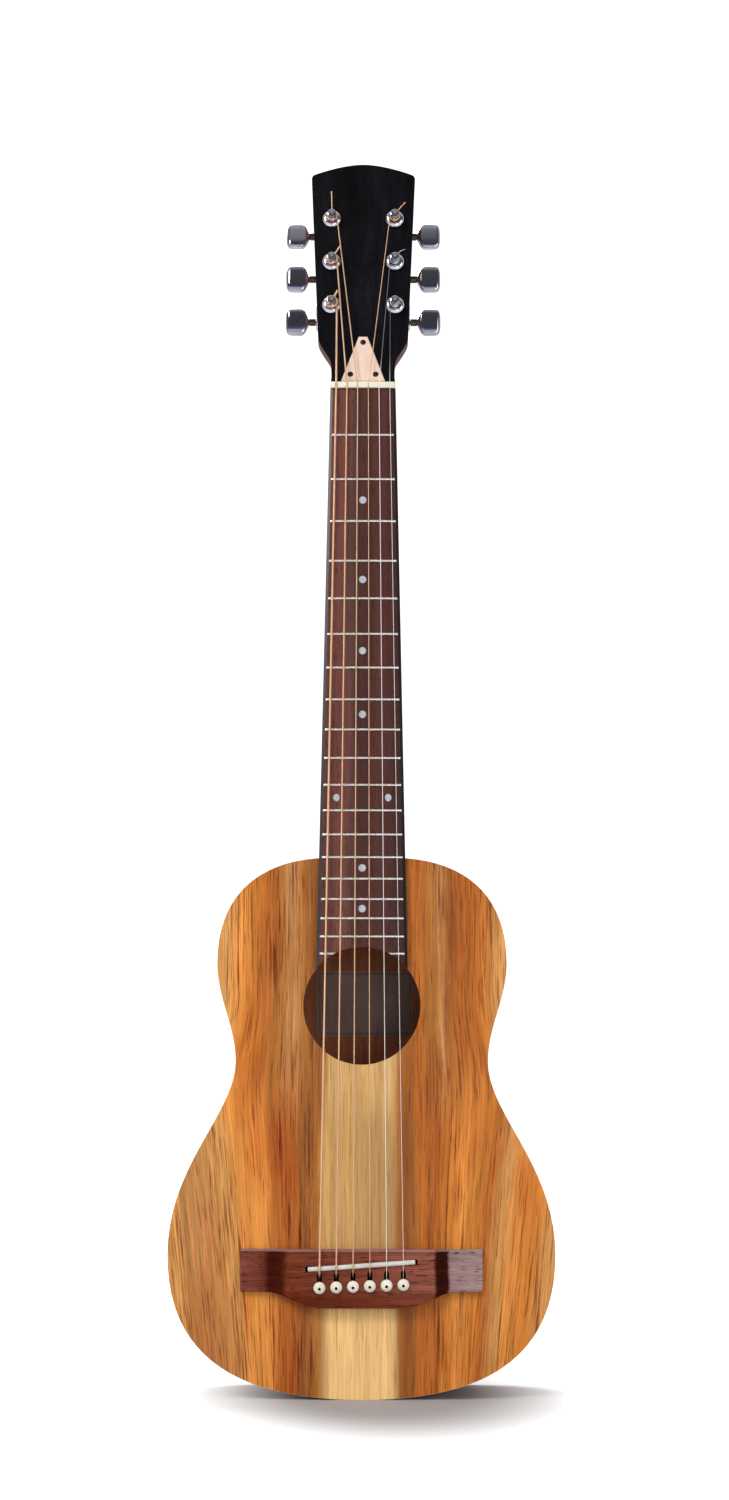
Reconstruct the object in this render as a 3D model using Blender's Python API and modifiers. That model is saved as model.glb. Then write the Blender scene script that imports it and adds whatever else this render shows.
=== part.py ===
"""A small-bodied steel-string travel guitar, built piece by piece.

The guitar stands upright: +Z runs up the neck, the face looks along -Y, the bass side is at -X.
Heights called h are measured out of the soundboard's face, so Y = TOP_Y - h.
"""

import math

import bmesh
import bpy
from mathutils import Matrix, Vector
from mathutils.geometry import interpolate_bezier

MM = 0.001

# Clearance between pieces that are glued or seated together
GAP = 0.3 * MM

# Triangles of a flat fill below this area are turned into better ones
SLIVER_AREA = 0.01 * MM * MM

# Scale and frets
SCALE_LENGTH = 559.0 * MM
FRET_COUNT = 19
BODY_JOIN_FRET = 14

# Body outline, right half: places of the bouts and waist and the reach of each curve's handles
BODY_LENGTH = 347.0 * MM
LOWER_BOUT_HALF = 124.7 * MM
LOWER_BOUT_Z = 92.0 * MM
WAIST_HALF = 81.6 * MM
WAIST_Z = 214.9 * MM
UPPER_BOUT_HALF = 93.9 * MM
UPPER_BOUT_Z = 278.6 * MM
SHOULDER_FLAT_HALF = 20.0 * MM
TAIL_HANDLE = 73.8 * MM
LOWER_BOUT_HANDLES = (69.0 * MM, 57.0 * MM)
WAIST_HANDLES = (33.4 * MM, 22.9 * MM)
UPPER_BOUT_HANDLES = (23.0 * MM, 53.4 * MM)
SHOULDER_HANDLE = 35.6 * MM
CURVE_STEPS = (9, 8, 7, 8)

# Body depth and walls
BODY_DEPTH_TAIL = 80.0 * MM
BODY_DEPTH_HEEL = 72.0 * MM
TOP_THICKNESS = 2.8 * MM
BACK_THICKNESS = 2.8 * MM
SIDE_THICKNESS = 2.0 * MM
LINING_WIDTH = 5.0 * MM
LINING_HEIGHT = 12.0 * MM

# Soundhole
SOUNDHOLE_RADIUS = 38.0 * MM
SOUNDHOLE_FROM_SHOULDER = 96.0 * MM
SOUNDHOLE_STEPS = 40

# Blocks inside the body
NECK_BLOCK_WIDTH = 64.0 * MM
NECK_BLOCK_LENGTH = 24.0 * MM
TAIL_BLOCK_WIDTH = 58.0 * MM
TAIL_BLOCK_LENGTH = 16.0 * MM

# Braces
BRACE_WIDTH = 7.0 * MM
BRACE_RIDGE = 3.0 * MM
BRACE_HEIGHT = 11.0 * MM
CROSS_BELOW_SOUNDHOLE = 63.0 * MM
CROSS_HALF_ANGLE = math.radians(43.0)
CROSS_UPPER_REACH = 108.0 * MM
CROSS_LOWER_REACH = 156.0 * MM
TRANSVERSE_FROM_SHOULDER = 48.0 * MM
HOLE_BRACE_X = 49.0 * MM
BACK_BRACE_ABOVE_BOUT = 4.0 * MM
BACK_BRACE_FROM_SHOULDER = 44.0 * MM
BRACE_END_SPARE = 3.0 * MM
BRIDGE_PLATE_HALF = 61.0 * MM
BRIDGE_PLATE_THICKNESS = 3.0 * MM
BRIDGE_PLATE_BEYOND = 3.0 * MM

# Fingerboard
NUT_WIDTH = 43.2 * MM
WIDTH_AT_12TH = 54.9 * MM
BOARD_THICKNESS = 6.0 * MM
BOARD_RADIUS = 400.0 * MM
BOARD_EDGE_ROUND = 1.7 * MM
FRET_HEIGHT = 1.0 * MM
FRET_WIDTH = 2.2 * MM
FRET_CROWN_WIDTH = 1.1 * MM
FRET_SET_IN = 1.8 * MM
FRET_TANG = 0.8 * MM

# Nut and saddle
NUT_THICKNESS = 4.2 * MM
NUT_SPREAD = 35.3 * MM
SADDLE_SPREAD = 53.6 * MM
SADDLE_LENGTH = 69.0 * MM
SADDLE_THICKNESS = 3.0 * MM
SADDLE_DEPTH_IN_BRIDGE = 4.5 * MM
SADDLE_SLOT_SPARE = 1.4 * MM
COMPENSATION_TREBLE = 10.8 * MM
COMPENSATION_BASS = 14.5 * MM
ACTION_AT_NUT = 0.45 * MM
ACTION_AT_12TH = 2.2 * MM

# Bridge
BRIDGE_BEHIND_SCALE = 2.6 * MM
BRIDGE_HALF = 77.6 * MM
BRIDGE_WING_HEIGHT = 27.0 * MM
BRIDGE_BELLY = 10.0 * MM
BRIDGE_BELLY_FLAT = 30.0 * MM
BRIDGE_BELLY_HALF = 57.0 * MM
BRIDGE_BELLY_STEP = 0.3 * MM
BRIDGE_WING_TAPER = 0.4 * MM
BRIDGE_THICKNESS = 7.8 * MM
BRIDGE_WING_THICKNESS = 3.6 * MM
BRIDGE_CENTRE_HALF = 47.0 * MM
BRIDGE_SCOOP = 10.5 * MM

# Bridge pins and their holes
PIN_FROM_FRONT_BASS = 24.0 * MM
PIN_FROM_FRONT_TREBLE = 22.0 * MM
PIN_HEAD_RADIUS = 3.85 * MM
PIN_HEAD_HEIGHT = 3.2 * MM
PIN_RADIUS = 2.35 * MM
PIN_TIP_RADIUS = 1.8 * MM
PIN_BELOW_TOP = 13.5 * MM
PIN_STEPS = 8
PIN_GROOVE_WIDTH = 2.3 * MM
PIN_GROOVE_FLOOR = 1.1 * MM
SLOT_WIDTH = 2.6 * MM
SLOT_REACH = 3.4 * MM
SLOT_MOUTH = 9.2 * MM
SLOT_MOUTH_DEPTH = 0.4 * MM
SLOT_THROAT_DEPTH = 2.9 * MM
RAMP_SPARE = 0.15 * MM

# Strings, bass first
GAUGES = (1.35 * MM, 1.07 * MM, 0.81 * MM, 0.61 * MM, 0.41 * MM, 0.30 * MM)
WHOLE_WRAPS = (1, 1, 1, 1, 1, 1)
TAIL_ANGLES = (60.0, 55.0, 90.0, 122.0, 118.0, 200.0)
HOLE_LEAD = 25.0
WRAP_SPARE = 0.5 * MM
BALL_RADIUS = 1.7 * MM
BALL_OFFSET = 3.2 * MM
STRING_OFFSET = 2.15 * MM
LOOP_STEPS = 24

# Neck
NECK_DEPTH_NUT = 13.5 * MM
NECK_DEPTH_HEEL = 16.0 * MM
NECK_ROUNDNESS = 2.2
HEEL_LENGTH = 42.0 * MM
HEEL_DEPTH = 84.0 * MM
HEEL_ROUNDNESS = 1.5
HEEL_CAP_INSET = 3.0 * MM
SECTION_POINTS = 13
TENON_WIDTH = 18.0 * MM
TENON_LENGTH = 14.0 * MM
TENON_DEPTH = 56.0 * MM

# Headstock: distances called d run along it from the back of the nut
HEAD_TILT = math.radians(10.0)
HEAD_THICKNESS = 10.8 * MM
VENEER_THICKNESS = 1.5 * MM
HEAD_HALF_AT_NUT = 20.9 * MM
HEAD_WAIST_D = 7.4 * MM
HEAD_SHOULDER_HALF = 30.0 * MM
HEAD_SHOULDER_D = 32.4 * MM
HEAD_TOP_HALF = 35.1 * MM
HEAD_CORNER_D = 149.9 * MM
HEAD_CORNER_ROUND = 2.4 * MM
HEAD_CROWN_HANDLES = (22.0 * MM, 9.0 * MM)
HEAD_CROWN_DROP = 3.2 * MM
HEAD_CORNER_RISE = 1.5 * MM
SHAFT_IN_HEAD = 24.0 * MM
HEAD_LENGTH = 158.9 * MM

# Truss rod and its cover
ROD_WIDTH = 6.0 * MM
ROD_DEPTH = 9.0 * MM
ROD_NUT_RADIUS = 3.3 * MM
ROD_NUT_LENGTH = 11.0 * MM
ROD_SOCKET_RADIUS = 2.0 * MM
ROD_ABOVE_HEEL = 8.0 * MM
CAVITY_HALF = 5.0 * MM
CAVITY_LENGTH = 18.0 * MM
COVER_BASE_HALF = 14.6 * MM
COVER_TOP_HALF = 2.9 * MM
COVER_LENGTH = 32.0 * MM
COVER_THICKNESS = 1.5 * MM
COVER_SCREW_RADIUS = 1.2 * MM
COVER_SCREWS = ((0.0 * MM, 27.9 * MM), (-8.4 * MM, 5.0 * MM), (8.4 * MM, 5.0 * MM))

# Tuning machines: the post's places on the headstock
POST_X = 21.1 * MM
POST_D = (55.1 * MM, 86.6 * MM, 118.1 * MM)
POST_RADIUS = 3.0 * MM
POST_WAIST_RADIUS = 2.6 * MM
POST_TOP = 12.0 * MM
POST_HEAD = 1.5 * MM
POST_STEPS = 12
SHANK_STEPS = 8
POST_HOLE_RADIUS = 0.95 * MM
WRAP_START = 6.5 * MM
DOME_RADIUS = 6.5 * MM
DOME_TOP_RADIUS = 3.9 * MM
DOME_HEIGHT = 3.2 * MM
SLEEVE_RADIUS = 4.2 * MM
SLEEVE_DEPTH = 9.0 * MM
SLEEVE_STEPS = 10

# Worm drive
GEAR_TEETH = 14
GEAR_PITCH_RADIUS = 3.2 * MM
WORM_PITCH_RADIUS = 1.6 * MM
TOOTH_ADDENDUM = 0.38 * MM
TOOTH_DEDENDUM = 0.5 * MM
TOOTH_SHARE = 0.34
GEAR_HEIGHT = 3.6 * MM
WORM_TURNS = 2.5
WORM_STEPS = 6
SHAFT_RADIUS = 1.5 * MM
SHAFT_STEPS = 8

# Tuner housing
HOUSING_INNER = 7.0 * MM
HOUSING_OUTER = 10.5 * MM
HOUSING_ABOVE = 7.5 * MM
HOUSING_BELOW = 9.5 * MM
HOUSING_HEIGHT = 8.4 * MM
HOUSING_ROUND = 1.5 * MM
SHAFT_BEHIND_HEAD = 3.4 * MM
ROOM_STEPS = 12

# Tuner button
COLLAR_START = 10.8 * MM
COLLAR_RADIUS = 2.6 * MM
COLLAR_LENGTH = 4.8 * MM
BUTTON_LENGTH = 15.3 * MM
BUTTON_CORNER_HALF = 8.6 * MM
BUTTON_HALF = 9.2 * MM
BUTTON_THICKNESS = 6.0 * MM
BUTTON_ROUND = 1.6 * MM
SHAFT_IN_BUTTON = 10.0 * MM


def fret_distance(number):
    """Distance of a fret from the front of the nut, in equal temperament."""
    return SCALE_LENGTH * (1.0 - 2.0 ** (-number / 12.0))


def across(spread, index):
    """The x of a string, bass first, where the outer strings are spread apart by a distance."""
    return -spread / 2.0 + spread * index / (len(GAUGES) - 1)


def crown_drop(x):
    """How far the rounded board, nut or saddle falls away beside its middle."""
    return x * x / (2.0 * BOARD_RADIUS)


# Places that follow from the sizes above
NUT_Z = BODY_LENGTH + fret_distance(BODY_JOIN_FRET)
NUT_BACK_Z = NUT_Z + NUT_THICKNESS
HEAD_ROOT_Z = NUT_BACK_Z + GAP
BRIDGE_FRONT_Z = NUT_Z - SCALE_LENGTH - BRIDGE_BEHIND_SCALE
PIN_Z_BASS = BRIDGE_FRONT_Z - PIN_FROM_FRONT_BASS
PIN_Z_TREBLE = BRIDGE_FRONT_Z - PIN_FROM_FRONT_TREBLE
SOUNDHOLE_Z = BODY_LENGTH - SOUNDHOLE_FROM_SHOULDER
CROSS_Z = SOUNDHOLE_Z - CROSS_BELOW_SOUNDHOLE
TRANSVERSE_Z = BODY_LENGTH - TRANSVERSE_FROM_SHOULDER
BACK_BRACE_LOWER_Z = LOWER_BOUT_Z + BACK_BRACE_ABOVE_BOUT
BACK_BRACE_UPPER_Z = BODY_LENGTH - BACK_BRACE_FROM_SHOULDER
FRET_TOP = BOARD_THICKNESS + FRET_HEIGHT
STRING_UNDER_NUT = FRET_TOP + ACTION_AT_NUT
STRING_RISE = 2.0 * (ACTION_AT_12TH - ACTION_AT_NUT)
STRING_UNDER_SADDLE = STRING_UNDER_NUT + STRING_RISE
FRONT_REACH = STRING_UNDER_SADDLE + max(
    gauge - crown_drop(across(SADDLE_SPREAD, index)) for index, gauge in enumerate(GAUGES)
)
TOP_Y = -(BODY_DEPTH_TAIL - FRONT_REACH) / 2.0
BACK_SLOPE = (BODY_DEPTH_TAIL - BODY_DEPTH_HEEL) / BODY_LENGTH
VENEER_FACE = GAP + VENEER_THICKNESS
WORM_CENTRE_DISTANCE = GEAR_PITCH_RADIUS + WORM_PITCH_RADIUS
WORM_PITCH = 2.0 * math.pi * GEAR_PITCH_RADIUS / GEAR_TEETH
SHAFT_H = -(HEAD_THICKNESS + SHAFT_BEHIND_HEAD)

# Local frames: face_frame takes (x, z, h), head_frame takes (x, d, h)
FACE_FRAME = Matrix(((1, 0, 0, 0), (0, 0, -1, TOP_Y), (0, 1, 0, 0), (0, 0, 0, 1)))
HEAD_FRAME = (
    FACE_FRAME @ Matrix.Translation((0, HEAD_ROOT_Z, 0)) @ Matrix.Rotation(-HEAD_TILT, 4, "X")
)


def clear_scene():
    for obj in list(bpy.data.objects):
        bpy.data.objects.remove(obj, do_unlink=True)


def make_collection(name):
    collection = bpy.data.collections.new(name)
    bpy.context.scene.collection.children.link(collection)
    return collection


def make_material(name, colour, roughness, metallic=0.0):
    made = bpy.data.materials.new(name)
    made.use_nodes = True
    shader = made.node_tree.nodes["Principled BSDF"]
    shader.inputs["Base Color"].default_value = (*colour, 1.0)
    shader.inputs["Roughness"].default_value = roughness
    shader.inputs["Metallic"].default_value = metallic
    return made


clear_scene()
PARTS = make_collection("travel_guitar")
CUTTERS = make_collection("cutters")
TOP_WOOD = make_material("figured_top", (0.56, 0.27, 0.09), 0.35)
BODY_WOOD = make_material("body_wood", (0.38, 0.17, 0.07), 0.4)
INNER_WOOD = make_material("inner_wood", (0.62, 0.45, 0.27), 0.8)
NECK_WOOD = make_material("neck_wood", (0.22, 0.12, 0.09), 0.45)
BOARD_WOOD = make_material("board_wood", (0.09, 0.03, 0.025), 0.5)
BLACK_VENEER = make_material("black_veneer", (0.012, 0.012, 0.015), 0.35)
BONE = make_material("bone", (0.82, 0.78, 0.66), 0.4)
CHROME = make_material("chrome", (0.75, 0.75, 0.77), 0.12, 1.0)
BRASS = make_material("brass", (0.65, 0.48, 0.2), 0.3, 1.0)
STEEL = make_material("steel", (0.6, 0.6, 0.6), 0.25, 1.0)
BRONZE = make_material("bronze_string", (0.72, 0.45, 0.25), 0.35, 1.0)


def add_object(name, mesh, material=None):
    """A part when it has a material, otherwise a hidden cutter."""
    obj = bpy.data.objects.new(name, mesh)
    if material is None:
        CUTTERS.objects.link(obj)
        obj.hide_render = True
        obj.display_type = "WIRE"
    else:
        PARTS.objects.link(obj)
        mesh.materials.append(material)
    return obj


def finish_mesh(bm, name, matrix):
    """Writes a closed bmesh, with its faces turned outwards, as a mesh in world space."""
    bmesh.ops.recalc_face_normals(bm, faces=bm.faces)
    mesh = bpy.data.meshes.new(name)
    bm.to_mesh(mesh)
    bm.free()
    mesh.transform(matrix)
    mesh.shade_smooth()
    mesh.set_sharp_from_angle(angle=math.radians(35.0))
    return mesh


def flat_piece(name, outlines, low, high, frame, material=None):
    """A plate between two heights; the outlines after the first are its holes."""
    curve = bpy.data.curves.new(name, "CURVE")
    curve.dimensions = "2D"
    curve.fill_mode = "BOTH"
    curve.extrude = (high - low) / 2.0
    for outline in outlines:
        spline = curve.splines.new("POLY")
        spline.points.add(len(outline) - 1)
        for point, place in zip(spline.points, outline):
            point.co = (place[0], place[1], 0.0, 1.0)
        spline.use_cyclic_u = True
    bm = curve_bmesh(curve)
    # Corners of holes that stand in one row would leave triangles without any area.
    bm.normal_update()
    caps = [face for face in bm.faces if abs(face.normal.z) > 0.5 or face.calc_area() < SLIVER_AREA]
    inner = [edge for edge in bm.edges if all(face in caps for face in edge.link_faces)]
    bmesh.ops.beautify_fill(bm, faces=caps, edges=inner)
    matrix = frame @ Matrix.Translation((0, 0, (low + high) / 2.0))
    return add_object(name, finish_mesh(bm, name, matrix), material)


def curve_bmesh(curve):
    """The welded mesh of a curve, which is then removed."""
    holder = bpy.data.objects.new("curve_holder", curve)
    CUTTERS.objects.link(holder)
    bpy.context.view_layer.update()
    evaluated = holder.evaluated_get(bpy.context.evaluated_depsgraph_get())
    mesh = bpy.data.meshes.new_from_object(evaluated)
    bm = bmesh.new()
    bm.from_mesh(mesh)
    bmesh.ops.remove_doubles(bm, verts=bm.verts, dist=1e-6)
    bpy.data.objects.remove(holder, do_unlink=True)
    bpy.data.meshes.remove(mesh)
    return bm


def tube(name, points, radius, material=None, swell=None, matrix=None):
    """A round wire through the points; swell scales its radius at each of them."""
    curve = bpy.data.curves.new(name, "CURVE")
    curve.dimensions = "3D"
    curve.bevel_depth = radius
    curve.bevel_resolution = 1
    curve.use_fill_caps = True
    spline = curve.splines.new("POLY")
    spline.points.add(len(points) - 1)
    for index, place in enumerate(points):
        spline.points[index].co = (*place, 1.0)
        spline.points[index].radius = swell[index] if swell else 1.0
    bm = curve_bmesh(curve)
    return add_object(name, finish_mesh(bm, name, matrix or Matrix()), material)


def box(name, low, high, frame, material=None):
    bm = bmesh.new()
    size = [top - bottom for top, bottom in zip(high, low)]
    centre = [(top + bottom) / 2.0 for top, bottom in zip(high, low)]
    bmesh.ops.create_cube(bm, size=1.0)
    bmesh.ops.scale(bm, vec=size, verts=bm.verts)
    bmesh.ops.translate(bm, vec=centre, verts=bm.verts)
    return add_object(name, finish_mesh(bm, name, frame), material)


def rod(name, start, end, radius, steps, frame, material=None, end_radius=None):
    """A cylinder or cone between two points of a frame."""
    start = Vector(start)
    end = Vector(end)
    tip_radius = radius if end_radius is None else end_radius
    turn = (end - start).to_track_quat("Z", "Y").to_matrix().to_4x4()
    place = Matrix.Translation((start + end) / 2.0) @ turn
    bm = bmesh.new()
    bmesh.ops.create_cone(
        bm, cap_ends=True, segments=steps, radius1=radius, radius2=tip_radius,
        depth=(end - start).length,
    )
    return add_object(name, finish_mesh(bm, name, frame @ place), material)


def turned(name, profile, steps, frame, material=None, closed=False):
    """A lathe-turned piece: the profile's (radius, height) points run down its outer side."""
    mesh = bpy.data.meshes.new(name)
    edges = [(index, index + 1) for index in range(len(profile) - 1)]
    if closed:
        edges.append((len(profile) - 1, 0))
    mesh.from_pydata([(radius, 0.0, height) for radius, height in profile], edges, [])
    obj = add_object(name, mesh, material)
    obj.matrix_world = frame
    screw = obj.modifiers.new("turn", "SCREW")
    screw.steps = steps
    screw.render_steps = steps
    screw.use_merge_vertices = True
    screw.merge_threshold = 1e-6
    screw.use_smooth_shade = True
    return obj


def loft(name, rings, frame, material=None, closed=False):
    """A skin through rings of equal point counts, capped or led back to its first ring."""
    bm = bmesh.new()
    rows = [[bm.verts.new(point) for point in ring] for ring in rings]
    count = len(rows[0])
    following_rows = rows[1:] + rows[:1] if closed else rows[1:]
    for lower, upper in zip(rows, following_rows):
        for index in range(count):
            following = (index + 1) % count
            bm.faces.new((lower[index], lower[following], upper[following], upper[index]))
    if not closed:
        bm.faces.new(list(reversed(rows[0])))
        bm.faces.new(rows[-1])
    return add_object(name, finish_mesh(bm, name, frame), material)


def combine(obj, other, operation):
    modifier = obj.modifiers.new(other.name, "BOOLEAN")
    modifier.object = other
    modifier.operation = operation
    modifier.solver = "EXACT"
    return obj


def cut(obj, *cutters):
    for cutter in cutters:
        combine(obj, cutter, "DIFFERENCE")
    return obj


def fuse(obj, *others):
    for other in others:
        combine(obj, other, "UNION")
    return obj


def joined(name, objects):
    """One hidden cutter mesh made of several that stay apart from each other."""
    bm = bmesh.new()
    for obj in objects:
        bm.from_mesh(obj.data)
        bpy.data.objects.remove(obj, do_unlink=True)
    return add_object(name, finish_mesh(bm, name, Matrix()))


def trim(obj, point, normal):
    """Cuts away what lies on the normal's side of a plane and closes the cut."""
    bm = bmesh.new()
    bm.from_mesh(obj.data)
    bmesh.ops.bisect_plane(
        bm, geom=bm.verts[:] + bm.edges[:] + bm.faces[:], dist=1e-7, plane_co=point,
        plane_no=normal, clear_outer=True,
    )
    open_edges = [edge for edge in bm.edges if edge.is_boundary]
    bmesh.ops.edgenet_fill(bm, edges=open_edges)
    bmesh.ops.recalc_face_normals(bm, faces=bm.faces)
    bm.to_mesh(obj.data)
    bm.free()
    return obj


def bevel(obj, width, angle=40.0, segments=1):
    modifier = obj.modifiers.new("edges", "BEVEL")
    modifier.width = width
    modifier.segments = segments
    modifier.limit_method = "ANGLE"
    modifier.angle_limit = math.radians(angle)
    return obj


def circle(centre_x, centre_y, radius, steps):
    turn = 2.0 * math.pi / steps
    return [
        (centre_x + radius * math.cos(index * turn), centre_y + radius * math.sin(index * turn))
        for index in range(steps)
    ]


def bezier(start, start_handle, end_handle, end, steps):
    """Points along one curve, without its last."""
    corners = [Vector((*place, 0.0)) for place in (start, start_handle, end_handle, end)]
    points = interpolate_bezier(*corners, steps + 1)
    return [(point.x, point.y) for point in points[:-1]]


def back_depth(z):
    """Depth of the back's outer face behind the soundboard's face."""
    return BODY_DEPTH_TAIL - BACK_SLOPE * z


def half_outline():
    """The body's right half, from the middle of the tail to the middle of the shoulder."""
    tail = (0.0, 0.0)
    lower = (LOWER_BOUT_HALF, LOWER_BOUT_Z)
    waist = (WAIST_HALF, WAIST_Z)
    upper = (UPPER_BOUT_HALF, UPPER_BOUT_Z)
    shoulder = (SHOULDER_FLAT_HALF, BODY_LENGTH)
    points = bezier(
        tail, (TAIL_HANDLE, 0.0), (lower[0], lower[1] - LOWER_BOUT_HANDLES[0]), lower,
        CURVE_STEPS[0],
    )
    points += bezier(
        lower, (lower[0], lower[1] + LOWER_BOUT_HANDLES[1]),
        (waist[0], waist[1] - WAIST_HANDLES[0]), waist, CURVE_STEPS[1],
    )
    points += bezier(
        waist, (waist[0], waist[1] + WAIST_HANDLES[1]),
        (upper[0], upper[1] - UPPER_BOUT_HANDLES[0]), upper, CURVE_STEPS[2],
    )
    points += bezier(
        upper, (upper[0], upper[1] + UPPER_BOUT_HANDLES[1]),
        (shoulder[0] + SHOULDER_HANDLE, shoulder[1]), shoulder, CURVE_STEPS[3],
    )
    return points + [shoulder, (0.0, BODY_LENGTH)]


def whole_outline():
    right = half_outline()
    left = [(-x, z) for x, z in reversed(right[1:-1])]
    return right + left


def inset_half(distance):
    """The half outline moved inwards by a distance."""
    points = half_outline()
    moved = []
    for index, (x, z) in enumerate(points):
        before = points[max(index - 1, 0)]
        after = points[min(index + 1, len(points) - 1)]
        along = Vector((after[0] - before[0], after[1] - before[1])).normalized()
        if index in (0, len(points) - 1):
            along = Vector((1.0, 0.0)) if index == 0 else Vector((-1.0, 0.0))
        moved.append((x - along.y * distance, z + along.x * distance))
    return moved


def brace_half(z):
    """Half the length of a straight brace, which ends a little before the linings."""
    room = inset_half(SIDE_THICKNESS + LINING_WIDTH + BRACE_END_SPARE)
    for (x, low), (next_x, high) in zip(room, room[1:]):
        if low <= z <= high:
            return x + (next_x - x) * (z - low) / (high - low)
    return 0.0


def keyhole(x, z):
    """A bridge pin's hole with the string's slot in front of it."""
    radius = (PIN_RADIUS + GAP) / math.cos(math.pi / PIN_STEPS)
    half = SLOT_WIDTH / 2.0
    opening = math.asin(half / radius)
    steps = PIN_STEPS
    sweep = 2.0 * (math.pi - opening)
    start = math.pi / 2.0 + opening
    points = []
    for index in range(steps + 1):
        angle = start + sweep * index / steps
        points.append((x + radius * math.cos(angle), z + radius * math.sin(angle)))
    return points + [(x + half, z + SLOT_REACH), (x - half, z + SLOT_REACH)]


def pin_place(index):
    share = index / (len(GAUGES) - 1)
    return across(SADDLE_SPREAD, index), PIN_Z_BASS + (PIN_Z_TREBLE - PIN_Z_BASS) * share


def saddle_z(x):
    """The slanted saddle's centre line."""
    share = 0.5 + x / SADDLE_SPREAD
    bass_z = NUT_Z - SCALE_LENGTH - COMPENSATION_BASS
    treble_z = NUT_Z - SCALE_LENGTH - COMPENSATION_TREBLE
    return bass_z + (treble_z - bass_z) * share


def board_half(z):
    """Half the fingerboard's width at a place along the neck."""
    widening = (WIDTH_AT_12TH - NUT_WIDTH) / fret_distance(12)
    return (NUT_WIDTH + widening * (NUT_Z - z)) / 2.0


def make_soundboard():
    holes = [circle(0.0, SOUNDHOLE_Z, SOUNDHOLE_RADIUS, SOUNDHOLE_STEPS)]
    holes += [keyhole(*pin_place(index)) for index in range(len(GAUGES))]
    board = flat_piece(
        "soundboard", [whole_outline()] + holes, -TOP_THICKNESS, 0.0, FACE_FRAME, TOP_WOOD
    )
    return board


def make_back_plate():
    plate = flat_piece(
        "back_plate", [whole_outline()], -BACK_THICKNESS, 0.0, Matrix(), BODY_WOOD
    )
    shear = Matrix.Identity(4)
    shear[2][1] = BACK_SLOPE
    shear[2][3] = -BODY_DEPTH_TAIL + BACK_THICKNESS
    plate.data.transform(FACE_FRAME @ shear)
    return plate


def side_ring(outer, wall, inner, z_shift=0.0):
    """One section of a side with its two linings, from the outline and two inset outlines."""
    front = -(TOP_THICKNESS + GAP)
    lining_edge = LINING_HEIGHT / 3.0

    def at(place, front_offset=None, back_offset=None):
        if back_offset is None:
            return Vector((place[0], place[1], front - front_offset))
        back = -(back_depth(place[1]) - BACK_THICKNESS - GAP)
        return Vector((place[0], place[1], back + back_offset))

    return [
        at(outer, 0.0), at(inner, 0.0), at(inner, lining_edge), at(wall, LINING_HEIGHT),
        at(wall, None, LINING_HEIGHT), at(inner, None, lining_edge), at(inner, None, 0.0),
        at(outer, None, 0.0),
    ]


def make_side(name, side):
    outline = half_outline()
    wall = inset_half(SIDE_THICKNESS)
    inner = inset_half(SIDE_THICKNESS + LINING_WIDTH)
    rings = []
    for points in zip(outline, wall, inner):
        placed = [(side * x, z) for x, z in points]
        rings.append(side_ring(*placed))
    made = loft(name, rings, FACE_FRAME, BODY_WOOD)
    trim(made, (side * GAP / 2.0, 0.0, 0.0), (-side, 0.0, 0.0))
    return cut(made, bpy.data.objects["blocks_room"], bpy.data.objects["tenon_room"])


def block_back(z):
    return -(back_depth(z) - BACK_THICKNESS - GAP)


def trim_to_back(obj):
    """Cuts a block off at the inner face of the tilted back."""
    plane_point = FACE_FRAME @ Vector((0.0, 0.0, block_back(0.0)))
    normal = Vector((0.0, 1.0, BACK_SLOPE)).normalized()
    return trim(obj, plane_point, normal)


def block_outlines(spare):
    """Plan outlines of the neck block and the tail block, grown by a spare all round."""
    inset = SIDE_THICKNESS + GAP
    half = NECK_BLOCK_WIDTH / 2.0 + spare
    top = BODY_LENGTH - inset + spare
    bottom = BODY_LENGTH - inset - NECK_BLOCK_LENGTH - spare
    shoulder = [point for point in inset_half(inset - spare) if point[1] > bottom + MM]
    edge = [point for point in shoulder if point[0] < half - MM]
    corner_z = edge[0][1]
    right = [(half, bottom), (half, corner_z - MM)] + edge[:-1]
    neck = right + [(0.0, top)] + [(-x, z) for x, z in reversed(right)]
    tail_half = TAIL_BLOCK_WIDTH / 2.0 + spare
    tail_top = inset + TAIL_BLOCK_LENGTH + spare
    curve = [point for point in inset_half(inset - spare) if point[1] < tail_top - MM]
    curve = [point for point in curve if point[0] < tail_half - MM]
    rise = curve[-1][1] + MM
    tail_right = curve[1:] + [(tail_half, rise), (tail_half, tail_top)]
    tail = [curve[0]] + tail_right + [(-x, z) for x, z in reversed(tail_right)]
    return neck, tail


def tenon_box(name, spare, material=None):
    half = TENON_WIDTH / 2.0 + spare
    low = (-half, BODY_LENGTH - TENON_LENGTH - spare, -TENON_DEPTH - spare)
    high = (half, BODY_LENGTH + 4.0 * MM, -(TOP_THICKNESS + GAP) + spare)
    return box(name, low, high, FACE_FRAME, material)


def make_blocks():
    front = -(TOP_THICKNESS + GAP)
    deep = -BODY_DEPTH_TAIL
    rooms = []
    for index, outline in enumerate(block_outlines(GAP)):
        rooms.append(
            flat_piece("block_room_%d" % index, [outline], deep - MM, front + MM, FACE_FRAME)
        )
    walls = joined("blocks_room", rooms)
    tenon_box("tenon_room", GAP)
    neck_outline, tail_outline = block_outlines(0.0)
    neck_block = flat_piece("neck_block", [neck_outline], deep, front, FACE_FRAME, INNER_WOOD)
    tail_block = flat_piece("tail_block", [tail_outline], deep, front, FACE_FRAME, INNER_WOOD)
    trim_to_back(neck_block)
    trim_to_back(tail_block)
    cut(neck_block, bpy.data.objects["tenon_room"])
    return walls


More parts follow.
